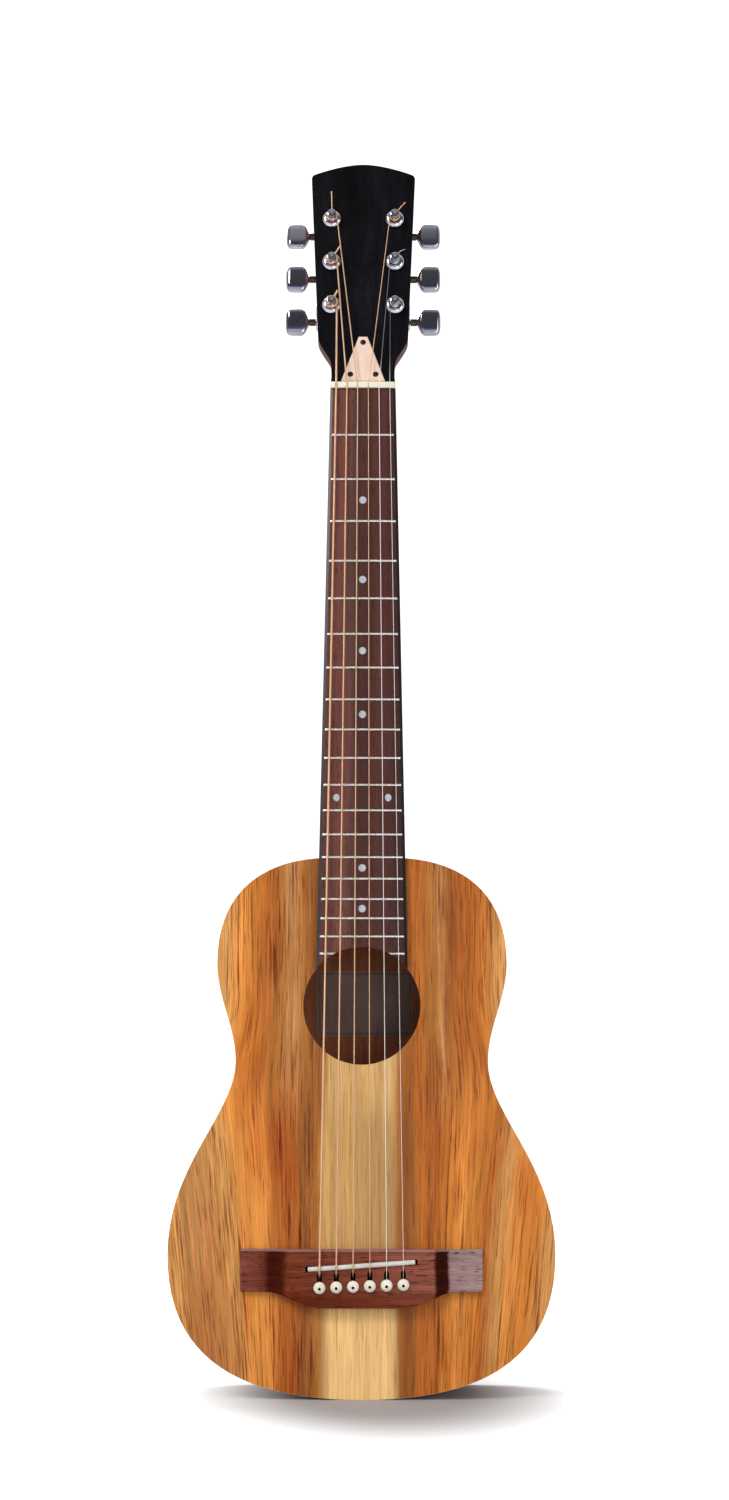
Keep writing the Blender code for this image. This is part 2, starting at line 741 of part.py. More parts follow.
def brace(name, start, end, base, height, rise=1.0, material=None):
    """A glued bar with a narrow ridge; base is the height it is glued to, rise its direction."""
    start = Vector(start)
    end = Vector(end)
    along = (end - start).normalized()
    side = Vector((-along.y, along.x))
    taper = min(18.0 * MM, (end - start).length / 3.0)
    rings = []
    stations = ((0.0, 0.45), (taper, 1.0), ((end - start).length - taper, 1.0))
    stations += (((end - start).length, 0.45),)
    for distance, share in stations:
        centre = start + along * distance
        tall = height * share
        ring = []
        for across_share, up in ((-0.5, 0.0), (0.5, 0.0), (0.5, 0.5), (0.0, 1.0), (-0.5, 0.5)):
            width = BRACE_RIDGE if up == 1.0 else BRACE_WIDTH
            place = centre + side * (width * across_share)
            ring.append((place.x, place.y, base(place.y) + rise * tall * up))
        rings.append(ring)
    return loft(name, rings, FACE_FRAME, material)


def make_braces():
    def top_under(z):
        return -(TOP_THICKNESS + GAP)

    def back_inside(z):
        return block_back(z)

    reach_x = math.sin(CROSS_HALF_ANGLE)
    reach_z = math.cos(CROSS_HALF_ANGLE)

    def arm(side, length):
        return (side * reach_x * length, CROSS_Z + reach_z * length)

    first = brace(
        "top_bracing", arm(1, -CROSS_LOWER_REACH), arm(1, CROSS_UPPER_REACH), top_under,
        BRACE_HEIGHT, -1.0, INNER_WOOD,
    )
    second = brace(
        "cross_arm", arm(-1, -CROSS_LOWER_REACH), arm(-1, CROSS_UPPER_REACH), top_under,
        BRACE_HEIGHT, -1.0,
    )
    half = brace_half(TRANSVERSE_Z)
    transverse = brace(
        "transverse", (-half, TRANSVERSE_Z), (half, TRANSVERSE_Z), top_under, BRACE_HEIGHT * 0.9,
        -1.0,
    )
    foot = CROSS_Z + HOLE_BRACE_X * reach_z / reach_x
    fingers = [
        brace(
            "hole_brace_%d" % side, (side * HOLE_BRACE_X, foot),
            (side * HOLE_BRACE_X, TRANSVERSE_Z), top_under, BRACE_HEIGHT * 0.6, -1.0,
        )
        for side in (-1, 1)
    ]
    fuse(first, second, transverse, *fingers)
    places = (("back_brace_lower", BACK_BRACE_LOWER_Z), ("back_brace_upper", BACK_BRACE_UPPER_Z))
    for name, z in places:
        half = brace_half(z)
        brace(name, (-half, z), (half, z), back_inside, BRACE_HEIGHT, 1.0, INNER_WOOD)


def cross_edge(x):
    """Where the lower arm of the X passes, less half its width and a clearance."""
    reach = BRACE_WIDTH / 2.0 + GAP
    return CROSS_Z - (x * math.cos(CROSS_HALF_ANGLE) + reach) / math.sin(CROSS_HALF_ANGLE)


def make_bridge_plate():
    """A hardwood plate under the pins; its upper corners are mitred where they reach the X."""
    top = BRIDGE_FRONT_Z + BRIDGE_PLATE_BEYOND
    bottom = BRIDGE_FRONT_Z - BRIDGE_WING_HEIGHT - BRIDGE_PLATE_BEYOND
    half = BRIDGE_PLATE_HALF
    right = [(half, bottom), (half, min(top, cross_edge(half)))]
    if cross_edge(half) < top:
        drop = (top - cross_edge(half)) * math.tan(CROSS_HALF_ANGLE)
        right.append((half - drop, top))
    outline = right + [(-x, z) for x, z in reversed(right)]
    holes = [keyhole(*pin_place(index)) for index in range(len(GAUGES))]
    front = -(TOP_THICKNESS + GAP)
    flat_piece(
        "bridge_plate", [outline] + holes, front - BRIDGE_PLATE_THICKNESS, front, FACE_FRAME,
        INNER_WOOD,
    )


def bridge_outline():
    """Straight wings and a curved belly behind the pins."""
    wing_z = BRIDGE_FRONT_Z - BRIDGE_WING_HEIGHT
    belly_end = (BRIDGE_BELLY_HALF, wing_z - BRIDGE_BELLY_STEP)
    belly = bezier(
        (BRIDGE_BELLY_FLAT, wing_z - BRIDGE_BELLY),
        (BRIDGE_BELLY_FLAT + 16.0 * MM, wing_z - BRIDGE_BELLY),
        (BRIDGE_BELLY_HALF - 9.0 * MM, wing_z - 1.5 * MM), belly_end, 7,
    )
    right = belly + [belly_end, (BRIDGE_BELLY_HALF + MM, wing_z)]
    right += [(BRIDGE_HALF, wing_z + BRIDGE_WING_TAPER)]
    right += [(BRIDGE_HALF, BRIDGE_FRONT_Z)]
    return right + [(-x, z) for x, z in reversed(right)]


def scoop_profile(side):
    """What is carved off a wing, as (x, h) points seen from the tail."""
    start = BRIDGE_CENTRE_HALF
    drop = BRIDGE_THICKNESS - BRIDGE_WING_THICKNESS
    over = BRIDGE_THICKNESS + 2.0 * MM
    curve = bezier(
        (start, BRIDGE_THICKNESS), (start + BRIDGE_SCOOP * 0.3, BRIDGE_THICKNESS - drop),
        (start + BRIDGE_SCOOP * 0.55, BRIDGE_WING_THICKNESS),
        (start + BRIDGE_SCOOP, BRIDGE_WING_THICKNESS), 5,
    )
    curve += [(start + BRIDGE_SCOOP, BRIDGE_WING_THICKNESS)]
    curve += [(BRIDGE_HALF + 2.0 * MM, BRIDGE_WING_THICKNESS), (BRIDGE_HALF + 2.0 * MM, over)]
    points = [(start, over)] + curve
    return [(side * x, h) for x, h in points]


def slot_ramp(index):
    """The ramp that leads a string from the bridge's face down into its pin hole."""
    x, z = pin_place(index)
    top = BRIDGE_THICKNESS + GAP
    profile = [
        (z, top - SLOT_THROAT_DEPTH), (z + SLOT_REACH, top - SLOT_THROAT_DEPTH),
        (z + SLOT_MOUTH, top - SLOT_MOUTH_DEPTH), (z + SLOT_MOUTH, top + MM), (z, top + MM),
    ]
    # The profile's plane is (z, h), so its frame looks along X.
    frame = FACE_FRAME @ Matrix(((0, 0, 1, x), (1, 0, 0, 0), (0, 1, 0, 0), (0, 0, 0, 1)))
    half = SLOT_WIDTH / 2.0 + RAMP_SPARE
    return flat_piece("ramp_%d" % (len(GAUGES) - index), [profile], -half, half, frame)


def saddle_frame():
    """A frame along the slanted saddle: x along it, y out of the face, z across it."""
    slant = math.atan2(saddle_z(SADDLE_SPREAD / 2.0) - saddle_z(-SADDLE_SPREAD / 2.0), SADDLE_SPREAD)
    upright = Matrix(((1, 0, 0, 0), (0, 0, -1, 0), (0, 1, 0, 0), (0, 0, 0, 1)))
    place = Matrix.Translation((0.0, saddle_z(0.0), 0.0)) @ Matrix.Rotation(slant, 4, "Z")
    return FACE_FRAME @ place @ upright


def make_bridge():
    holes = [keyhole(*pin_place(index)) for index in range(len(GAUGES))]
    base = GAP
    top = GAP + BRIDGE_THICKNESS
    bridge = flat_piece("bridge", [bridge_outline()] + holes, base, top, FACE_FRAME, BOARD_WOOD)
    ramps = joined("slot_ramps", [slot_ramp(index) for index in range(len(GAUGES))])
    length = BRIDGE_WING_HEIGHT + BRIDGE_BELLY + 8.0 * MM
    # The scoop's plane is (x, h), so its frame looks along Z.
    middle = BRIDGE_FRONT_Z + 4.0 * MM - length / 2.0
    frame = FACE_FRAME @ Matrix(((1, 0, 0, 0), (0, 0, 1, middle), (0, 1, 0, GAP), (0, 0, 0, 1)))
    scoops = joined(
        "wing_scoops",
        [
            flat_piece("scoop_%d" % side, [scoop_profile(side)], -length / 2.0, length / 2.0, frame)
            for side in (-1, 1)
        ],
    )
    half_length = SADDLE_LENGTH / 2.0 + SADDLE_SLOT_SPARE
    half_width = SADDLE_THICKNESS / 2.0 + GAP
    floor = top - SADDLE_DEPTH_IN_BRIDGE - GAP
    slot = box(
        "saddle_slot", (-half_length, floor, -half_width), (half_length, top + MM, half_width),
        saddle_frame(),
    )
    return cut(bridge, scoops, ramps, slot)


def make_saddle():
    top = STRING_UNDER_SADDLE - GAP
    floor = GAP + BRIDGE_THICKNESS - SADDLE_DEPTH_IN_BRIDGE
    half = SADDLE_LENGTH / 2.0
    steps = 8
    points = [(-half, floor), (half, floor)]
    for index in range(steps + 1):
        x = half - 2.0 * half * index / steps
        points.append((x, top - crown_drop(x)))
    half_thick = SADDLE_THICKNESS / 2.0
    saddle = flat_piece("saddle", [points], -half_thick, half_thick, saddle_frame(), BONE)
    return bevel(saddle, 0.5 * MM, 60.0)


def make_pin(index):
    number = len(GAUGES) - index
    x, z = pin_place(index)
    seat = GAP + BRIDGE_THICKNESS + GAP
    tip = -PIN_BELOW_TOP
    collar = 0.9 * MM
    profile = [
        (0.0, seat + PIN_HEAD_HEIGHT), (PIN_HEAD_RADIUS * 0.6, seat + PIN_HEAD_HEIGHT * 0.85),
        (PIN_HEAD_RADIUS * 0.95, seat + PIN_HEAD_HEIGHT * 0.45), (PIN_HEAD_RADIUS, seat + collar),
        (PIN_HEAD_RADIUS * 0.85, seat), (PIN_RADIUS, seat), (PIN_TIP_RADIUS, tip), (0.0, tip),
    ]
    frame = FACE_FRAME @ Matrix.Translation((x, z, 0.0))
    pin = turned("bridge_pin_%d" % number, profile, PIN_STEPS, frame, BONE)
    half = PIN_GROOVE_WIDTH / 2.0
    groove = box(
        "pin_groove_%d" % number, (-half, PIN_GROOVE_FLOOR, tip - MM),
        (half, PIN_HEAD_RADIUS, seat - 0.5 * MM), frame,
    )
    return cut(pin, groove)


def board_section(z, low):
    """The fingerboard's section: a slightly rounded face with rolled edges."""
    half = board_half(z)
    face = half - BOARD_EDGE_ROUND
    steps = 4
    ring = [(-half, z, low), (half, z, low)]
    side_top = BOARD_THICKNESS - crown_drop(half) - BOARD_EDGE_ROUND
    ring.append((half, z, side_top))
    ring.append((half - BOARD_EDGE_ROUND * 0.3, z, side_top + BOARD_EDGE_ROUND * 0.7))
    for index in range(steps + 1):
        x = face - 2.0 * face * index / steps
        ring.append((x, z, BOARD_THICKNESS - crown_drop(x)))
    ring.append((-half + BOARD_EDGE_ROUND * 0.3, z, side_top + BOARD_EDGE_ROUND * 0.7))
    ring.append((-half, z, side_top))
    return ring


def make_fret(number):
    """A crowned wire with a short tang, bent to the board's radius."""
    z = NUT_Z - fret_distance(number)
    half = board_half(z) - FRET_SET_IN
    steps = 3
    rings = []
    for index in range(steps + 1):
        x = -half + 2.0 * half * index / steps
        face = BOARD_THICKNESS - crown_drop(x)
        end = 0.5 * FRET_HEIGHT if index in (0, steps) else 0.0
        ring = [
            (x, z - FRET_WIDTH / 2.0, face - FRET_TANG),
            (x, z + FRET_WIDTH / 2.0, face - FRET_TANG),
            (x, z + FRET_CROWN_WIDTH / 2.0, face + FRET_HEIGHT - end),
            (x, z - FRET_CROWN_WIDTH / 2.0, face + FRET_HEIGHT - end),
        ]
        rings.append(ring)
    return loft("fret_%d" % number, rings, FACE_FRAME)


def make_fingerboard():
    rings = [board_section(z, GAP) for z in (SOUNDHOLE_Z, NUT_Z - GAP)]
    board = loft("fingerboard", rings, FACE_FRAME, BOARD_WOOD)
    frets = joined("frets", [make_fret(number) for number in range(1, FRET_COUNT + 1)])
    hole = rod(
        "board_end", (0.0, SOUNDHOLE_Z, -FRET_TOP), (0.0, SOUNDHOLE_Z, 2.0 * FRET_TOP),
        SOUNDHOLE_RADIUS, SOUNDHOLE_STEPS, FACE_FRAME,
    )
    cut(fuse(board, frets), hole)
    return board


def string_nut_point(index):
    """Where a string leaves the nut: its centre, on the nut's front edge."""
    x = across(NUT_SPREAD, index)
    height = STRING_UNDER_NUT - crown_drop(x) + GAUGES[index] / 2.0
    return Vector((x, NUT_Z + 0.8 * MM, height))


def string_saddle_point(index):
    x = across(SADDLE_SPREAD, index)
    height = STRING_UNDER_SADDLE - crown_drop(x) + GAUGES[index] / 2.0
    return Vector((x, saddle_z(x), height))


def post_for(index):
    """Side and place of the post that takes a string: -1 is the bass side."""
    row = index if index < 3 else 5 - index
    side = -1 if index < 3 else 1
    return side, side * POST_X, POST_D[row]


def wrap_count(index):
    """Turns of string on its post, up to the mouth of the hole."""
    start = wrap_start_angle(index)
    mouth = math.radians(TAIL_ANGLES[index] - 180.0 - HOLE_LEAD)
    part = (mouth - start) % (2.0 * math.pi)
    return WHOLE_WRAPS[index] + part / (2.0 * math.pi)


def coil_radius(index):
    return POST_WAIST_RADIUS + GAP + GAUGES[index] / 2.0


def head_point(point):
    """A face-frame point in the headstock's frame."""
    return HEAD_FRAME.inverted() @ (FACE_FRAME @ Vector(point))


def tangent(index):
    """The tangent point on the coil and its angle, drawn as if the post were on the bass side."""
    side, post_x, post_d = post_for(index)
    start = head_point(string_nut_point(index))
    mirror = -side
    to_post = Vector((mirror * (post_x - start.x), post_d - start.y))
    radius = coil_radius(index)
    reach = math.sqrt(to_post.length_squared - radius * radius)
    heading = math.atan2(to_post.y, to_post.x) - math.asin(radius / to_post.length)
    direction = Vector((math.cos(heading), math.sin(heading)))
    touch = Vector((mirror * start.x, start.y)) + direction * reach
    return touch, heading - math.pi / 2.0, start


def wrap_start_angle(index):
    return tangent(index)[1]


def coil_points(index):
    """The wraps on the post, in the headstock's frame."""
    side, post_x, post_d = post_for(index)
    mirror = -side
    start = wrap_start_angle(index)
    turns = wrap_count(index)
    radius = coil_radius(index)
    pitch = GAUGES[index] + WRAP_SPARE
    count = math.ceil(turns * LOOP_STEPS)
    points = []
    for step in range(count + 1):
        angle = start + 2.0 * math.pi * turns * step / count
        x = post_x + mirror * radius * math.cos(angle)
        d = post_d + radius * math.sin(angle)
        points.append(Vector((x, d, WRAP_START + pitch * turns * step / count)))
    return points


def least_gap(points, thickness):
    """The least space between one loop of a winding and the next."""
    near = LOOP_STEPS * 3 // 4
    least = min(
        (points[first] - points[second]).length
        for first in range(len(points))
        for second in range(first + near, len(points))
    )
    return least - thickness


def make_string(index):
    number = len(GAUGES) - index
    radius = GAUGES[index] / 2.0
    x, pin_z = pin_place(index)
    plate_under = -(TOP_THICKNESS + BRIDGE_PLATE_THICKNESS + 2.0 * GAP)
    ball_h = plate_under - GAP - BALL_RADIUS
    ball_z = pin_z + BALL_OFFSET
    run_z = pin_z + STRING_OFFSET
    enter = BRIDGE_THICKNESS + GAP - SLOT_THROAT_DEPTH + GAP + radius + 0.2 * MM
    points = []
    swell = []
    ball_steps = 4
    for step in range(ball_steps):
        share = -1.0 + (step + 0.3) * 1.7 / ball_steps
        points.append(FACE_FRAME @ Vector((x, ball_z, ball_h + BALL_RADIUS * share)))
        swell.append(BALL_RADIUS * math.sqrt(1.0 - share * share) / radius)
    route = [
        Vector((x, run_z + 0.2 * (ball_z - run_z), plate_under)),
        Vector((x, run_z, -TOP_THICKNESS)),
        Vector((x, run_z, enter - 1.2 * radius)),
        Vector((x, run_z + 0.4 * radius, enter)),
        string_saddle_point(index) + Vector((0.0, -0.6 * MM, -0.05 * MM)),
        string_saddle_point(index) + Vector((0.0, 0.6 * MM, 0.0)),
        string_nut_point(index),
    ]
    points += [FACE_FRAME @ place for place in route]
    coil = coil_points(index)
    points += [HEAD_FRAME @ place for place in coil]
    swell += [1.0] * (len(points) - len(swell))
    material = BRONZE if index < 4 else STEEL
    if WHOLE_WRAPS[index]:
        space = least_gap(coil, GAUGES[index])
        print("string_%d: %.2f turns, least gap %.2f mm" % (number, wrap_count(index), space / MM))
    return tube("string_%d" % number, points, radius, material, swell)


def make_nut():
    """A bone bar across the end of the fingerboard, slotted to half of each string."""
    half = NUT_WIDTH / 2.0
    steps = 6
    points = [(-half, GAP), (half, GAP)]
    for step in range(steps + 1):
        x = half - 2.0 * half * step / steps
        points.append((x, STRING_UNDER_NUT + 0.5 * MM - crown_drop(x)))
    frame = FACE_FRAME @ Matrix(((1, 0, 0, 0), (0, 0, -1, NUT_Z), (0, 1, 0, 0), (0, 0, 0, 1)))
    nut = flat_piece("nut", [points], -NUT_THICKNESS, 0.0, frame, BONE)
    slots = []
    for index in range(len(GAUGES)):
        start = string_nut_point(index)
        saddle = string_saddle_point(index)
        before = start + (saddle - start).normalized() * 4.0 * MM
        after = coil_points(index)[0]
        after = FACE_FRAME.inverted() @ (HEAD_FRAME @ after)
        after = start + (after - start).normalized() * 9.0 * MM
        half = GAUGES[index] / 2.0 + GAP
        rings = [
            (
                (x - half, z, h - half), (x + half, z, h - half), (x + half, z, h + 3.0 * MM),
                (x - half, z, h + 3.0 * MM),
            )
            for x, z, h in (before, start, after)
        ]
        slots.append(loft("nut_slot_%d" % index, rings, FACE_FRAME))
    return cut(nut, joined("nut_slots", slots))


def neck_depth(z):
    share = (NUT_Z - z) / (NUT_Z - BODY_LENGTH)
    shaft = NECK_DEPTH_NUT + (NECK_DEPTH_HEEL - NECK_DEPTH_NUT) * share
    into_heel = 1.0 - (z - BODY_LENGTH) / HEEL_LENGTH
    if into_heel <= 0.0:
        return shaft
    return shaft + (HEEL_DEPTH - shaft) * into_heel ** 2.4


def neck_section(z, half):
    """A flat-topped D that narrows to a keel towards the heel."""
    depth = neck_depth(z)
    into_heel = max(0.0, 1.0 - (z - BODY_LENGTH) / HEEL_LENGTH)
    power = NECK_ROUNDNESS + (HEEL_ROUNDNESS - NECK_ROUNDNESS) * min(1.0, into_heel * 1.4)
    ring = []
    for step in range(SECTION_POINTS):
        angle = math.pi * step / (SECTION_POINTS - 1)
        cosine = math.cos(angle)
        reach = math.copysign(abs(cosine) ** (2.0 / power), cosine)
        ring.append((half * reach, z, -depth * max(0.0, math.sin(angle)) ** (2.0 / power)))
    return ring


def head_outline():
    """The headstock: narrow at the nut, round shoulders, straight flared sides, crowned end."""
    corner = (HEAD_TOP_HALF, HEAD_CORNER_D)
    crown_end = (corner[0] - HEAD_CORNER_ROUND, corner[1] + HEAD_CORNER_RISE)
    right = [(HEAD_HALF_AT_NUT, 0.0)]
    right += bezier(
        (HEAD_HALF_AT_NUT + 0.2 * MM, HEAD_WAIST_D),
        (HEAD_HALF_AT_NUT + 0.6 * MM, HEAD_WAIST_D + 10.5 * MM),
        (HEAD_SHOULDER_HALF - MM, HEAD_SHOULDER_D - 8.5 * MM),
        (HEAD_SHOULDER_HALF, HEAD_SHOULDER_D), 7,
    )
    right += [(HEAD_SHOULDER_HALF, HEAD_SHOULDER_D)]
    right += bezier(
        (corner[0] - 0.2 * MM, corner[1] - HEAD_CORNER_ROUND),
        (corner[0] + 0.1 * MM, corner[1] - MM),
        (corner[0] - MM, crown_end[1] - 0.3 * MM), crown_end, 4,
    )
    right += bezier(
        crown_end, (HEAD_CROWN_HANDLES[0], HEAD_LENGTH - HEAD_CROWN_DROP),
        (HEAD_CROWN_HANDLES[1], HEAD_LENGTH), (0.0, HEAD_LENGTH), 5,
    )
    left = [(-x, d) for x, d in reversed(right)]
    return right + [(0.0, HEAD_LENGTH)] + left


def post_places():
    return [(side * POST_X, d) for side in (-1, 1) for d in POST_D]


def sleeve_holes():
    radius = (SLEEVE_RADIUS + GAP) / math.cos(math.pi / SLEEVE_STEPS)
    return [circle(x, d, radius, SLEEVE_STEPS) for x, d in post_places()]


def make_neck():
    heel_share = (0.0, 0.06, 0.14, 0.24, 0.36, 0.5, 0.7, 1.0)
    levels = [BODY_LENGTH + GAP + share * HEEL_LENGTH for share in heel_share]
    levels += [NUT_Z, HEAD_ROOT_Z]
    rings = [neck_section(z, board_half(min(z, NUT_Z))) for z in levels]
    buried = HEAD_ROOT_Z + SHAFT_IN_HEAD
    rings.append(neck_section(buried, HEAD_HALF_AT_NUT - 3.0 * MM))
    neck = loft("neck", rings, FACE_FRAME, NECK_WOOD)
    cap_h = -(BODY_DEPTH_HEEL - HEEL_CAP_INSET)
    trim(neck, FACE_FRAME @ Vector((0.0, 0.0, cap_h)), (0.0, 1.0, 0.0))
    face_normal = HEAD_FRAME.to_3x3() @ Vector((0.0, 0.0, 1.0))
    trim(neck, HEAD_FRAME @ Vector((0.0, 0.0, -0.02 * MM)), face_normal)
    head = flat_piece(
        "head_blank", [head_outline()] + sleeve_holes(), -HEAD_THICKNESS, 0.0, HEAD_FRAME
    )
    tenon = tenon_box("tenon", 0.0)
    fuse(neck, head, tenon)
    half = ROD_WIDTH / 2.0 + GAP
    floor = -(ROD_DEPTH + 2.0 * GAP)
    channel = box(
        "rod_channel", (-half, BODY_LENGTH + ROD_ABOVE_HEEL - GAP, floor),
        (half, HEAD_ROOT_Z + 2.0 * MM, MM), FACE_FRAME,
    )
    cavity = box(
        "rod_cavity", (-CAVITY_HALF, HEAD_ROOT_Z + MM, floor),
        (CAVITY_HALF, HEAD_ROOT_Z + CAVITY_LENGTH, 2.0 * MM), FACE_FRAME,
    )
    return cut(neck, channel, cavity)


def make_headstock_veneer():
    cavity = [
        (-CAVITY_HALF, 1.5 * MM), (CAVITY_HALF, 1.5 * MM), (CAVITY_HALF, CAVITY_LENGTH),
        (-CAVITY_HALF, CAVITY_LENGTH),
    ]
    flat_piece(
        "headstock_veneer", [head_outline(), cavity] + sleeve_holes(), GAP, VENEER_FACE,
        HEAD_FRAME, BLACK_VENEER,
    )


def make_truss_rod():
    """A flat double-acting rod with a socket nut that is reached under the cover."""
    half = ROD_WIDTH / 2.0
    start = BODY_LENGTH + ROD_ABOVE_HEEL
    end = HEAD_ROOT_Z + 3.0 * MM
    body = box(
        "truss_rod", (-half, start, -(ROD_DEPTH + GAP)), (half, end, -GAP), FACE_FRAME, STEEL
    )
    centre = -(ROD_DEPTH / 2.0 + GAP)
    nut_end = end + ROD_NUT_LENGTH
    nut = rod(
        "rod_nut", (0.0, end - MM, centre), (0.0, nut_end, centre), ROD_NUT_RADIUS, 12, FACE_FRAME
    )
    socket = rod(
        "rod_socket", (0.0, nut_end - 6.0 * MM, centre), (0.0, nut_end + MM, centre),
        ROD_SOCKET_RADIUS, 6, FACE_FRAME,
    )
    return cut(fuse(body, nut), socket)


def make_truss_rod_cover():
    outline = [
        (-COVER_BASE_HALF, GAP), (COVER_BASE_HALF, GAP), (COVER_TOP_HALF, COVER_LENGTH),
        (-COVER_TOP_HALF, COVER_LENGTH),
    ]
    holes = [circle(x, d, COVER_SCREW_RADIUS, 8) for x, d in COVER_SCREWS]
    low = VENEER_FACE + GAP
    flat_piece(
        "truss_rod_cover", [outline] + holes, low, low + COVER_THICKNESS, HEAD_FRAME, BONE
    )


def hole_angle(index):
    """Direction of the hole through a post, drawn as on the bass side."""
    return math.radians(TAIL_ANGLES[index])


def gear_ring(h, turn):
    """The gear's outline at one height; turn follows the worm's lead."""
    ring = []
    outer = GEAR_PITCH_RADIUS + TOOTH_ADDENDUM
    root = GEAR_PITCH_RADIUS - TOOTH_DEDENDUM
    tooth = 2.0 * math.pi / GEAR_TEETH
    root_half = tooth * TOOTH_SHARE * 0.75
    tip_half = tooth * TOOTH_SHARE * 0.3
    for number in range(GEAR_TEETH):
        # A gap faces the worm, which lies towards -d.
        centre = -math.pi / 2.0 + tooth * (number + 0.5) + turn
        for offset, radius in (
            (-root_half, root), (-tip_half, outer), (tip_half, outer), (root_half, root)
        ):
            angle = centre + offset
            ring.append((radius * math.cos(angle), radius * math.sin(angle), h))
    return ring


def make_post(index, frame):
    """The string post and the gear on its lower end."""
    number = len(GAUGES) - index
    side, _, _ = post_for(index)
    twist = GEAR_HEIGHT / (GEAR_TEETH * WORM_PITCH_RADIUS) / 2.0
    low = SHAFT_H - GEAR_HEIGHT / 2.0
    high = SHAFT_H + GEAR_HEIGHT / 2.0
    post = loft(
        "string_post_%d" % number, [gear_ring(low, -twist), gear_ring(high, twist)], frame, CHROME
    )
    shoulder = VENEER_FACE + GAP + DOME_HEIGHT
    waist_low = shoulder + 0.6 * MM
    waist_high = POST_TOP - POST_HEAD
    profile = [
        (0.0, POST_TOP), (POST_RADIUS - 0.5 * MM, POST_TOP), (POST_RADIUS, POST_TOP - 0.5 * MM),
        (POST_RADIUS, waist_high + 0.5 * MM), (POST_WAIST_RADIUS, waist_high),
        (POST_WAIST_RADIUS, waist_low + 0.5 * MM), (POST_RADIUS, waist_low),
        (POST_RADIUS, high - 0.8 * MM), (0.0, high - 0.8 * MM),
    ]
    shaft = turned("post_shaft_%d" % number, profile, SHANK_STEPS, frame)
    top_wrap = coil_points(index)[-1].z
    angle = hole_angle(index)
    reach = Vector((-side * math.cos(angle), math.sin(angle), 0.0)) * POST_RADIUS * 1.5
    centre = Vector((0.0, 0.0, top_wrap))
    hole = rod(
        "post_hole_%d" % number, centre - reach, centre + reach, POST_HOLE_RADIUS, 6, frame
    )
    return cut(fuse(post, shaft), hole)


def ring_points(radius, h):
    turn = 2.0 * math.pi / POST_STEPS
    return [
        (radius * math.cos(step * turn), radius * math.sin(step * turn), h)
        for step in range(POST_STEPS)
    ]


def make_bushing(index, frame):
    """A domed ferrule on the face, with its sleeve through the headstock."""
    number = len(GAUGES) - index
    base = VENEER_FACE + GAP
    top = base + DOME_HEIGHT
    bore = (POST_RADIUS + GAP) / math.cos(math.pi / POST_STEPS)
    rings = [
        ring_points(bore, -SLEEVE_DEPTH), ring_points(SLEEVE_RADIUS, -SLEEVE_DEPTH),
        ring_points(SLEEVE_RADIUS, base), ring_points(DOME_RADIUS, base),
        ring_points(DOME_RADIUS * 0.87, base + DOME_HEIGHT * 0.72),
        ring_points(DOME_TOP_RADIUS, top), ring_points(bore, top),
    ]
    return loft("tuner_bushing_%d" % number, rings, frame, CHROME, closed=True)


def make_worm_shaft(index, frame):
    """A single-start right-hand worm on the button's shaft."""
    number = len(GAUGES) - index
    side, _, _ = post_for(index)
    centre_d = -WORM_CENTRE_DISTANCE
    root = WORM_PITCH_RADIUS - TOOTH_DEDENDUM
    outer = WORM_PITCH_RADIUS + TOOTH_ADDENDUM
    half_run = WORM_TURNS * WORM_PITCH / 2.0
    count = round(WORM_TURNS * WORM_STEPS)
    rings = []
    for step in range(count + 1):
        x = -half_run + 2.0 * half_run * step / count
        # The ridge faces the gear, which lies towards +d, where it passes the post's centre.
        angle = 2.0 * math.pi * x / WORM_PITCH
        fade = min(1.0, step / 2.0, (count - step) / 2.0)
        height = root + 0.05 * MM + (outer - root - 0.05 * MM) * fade
        wide = WORM_PITCH * TOOTH_SHARE * 0.75
        narrow = WORM_PITCH * TOOTH_SHARE * 0.3
        ring = []
        for offset, radius in (
            (-wide, root - 0.3 * MM), (wide, root - 0.3 * MM), (narrow, height), (-narrow, height)
        ):
            d = centre_d + radius * math.cos(angle)
            h = SHAFT_H + radius * math.sin(angle)
            ring.append((x + offset, d, h))
        rings.append(ring)
    thread = loft("thread_%d" % number, rings, frame)
    neck_end = half_run + 0.8 * MM
    inner_end = -(half_run + WORM_PITCH)
    profile = [
        (0.0, COLLAR_START + SHAFT_IN_BUTTON), (SHAFT_RADIUS, COLLAR_START + SHAFT_IN_BUTTON),
        (SHAFT_RADIUS, neck_end), (root, neck_end), (root, inner_end), (0.0, inner_end),
    ]
    # The lathe's axis runs out along X; a half step keeps its edges off the thread's sections.
    outward = Matrix(((0, 0, side, 0), (0, 1, 0, centre_d), (-side, 0, 0, SHAFT_H), (0, 0, 0, 1)))
    outward = outward @ Matrix.Rotation(math.pi / SHAFT_STEPS, 4, "Z")
    core = turned("worm_shaft_%d" % number, profile, SHAFT_STEPS, frame @ outward, STEEL)
    return fuse(core, thread)


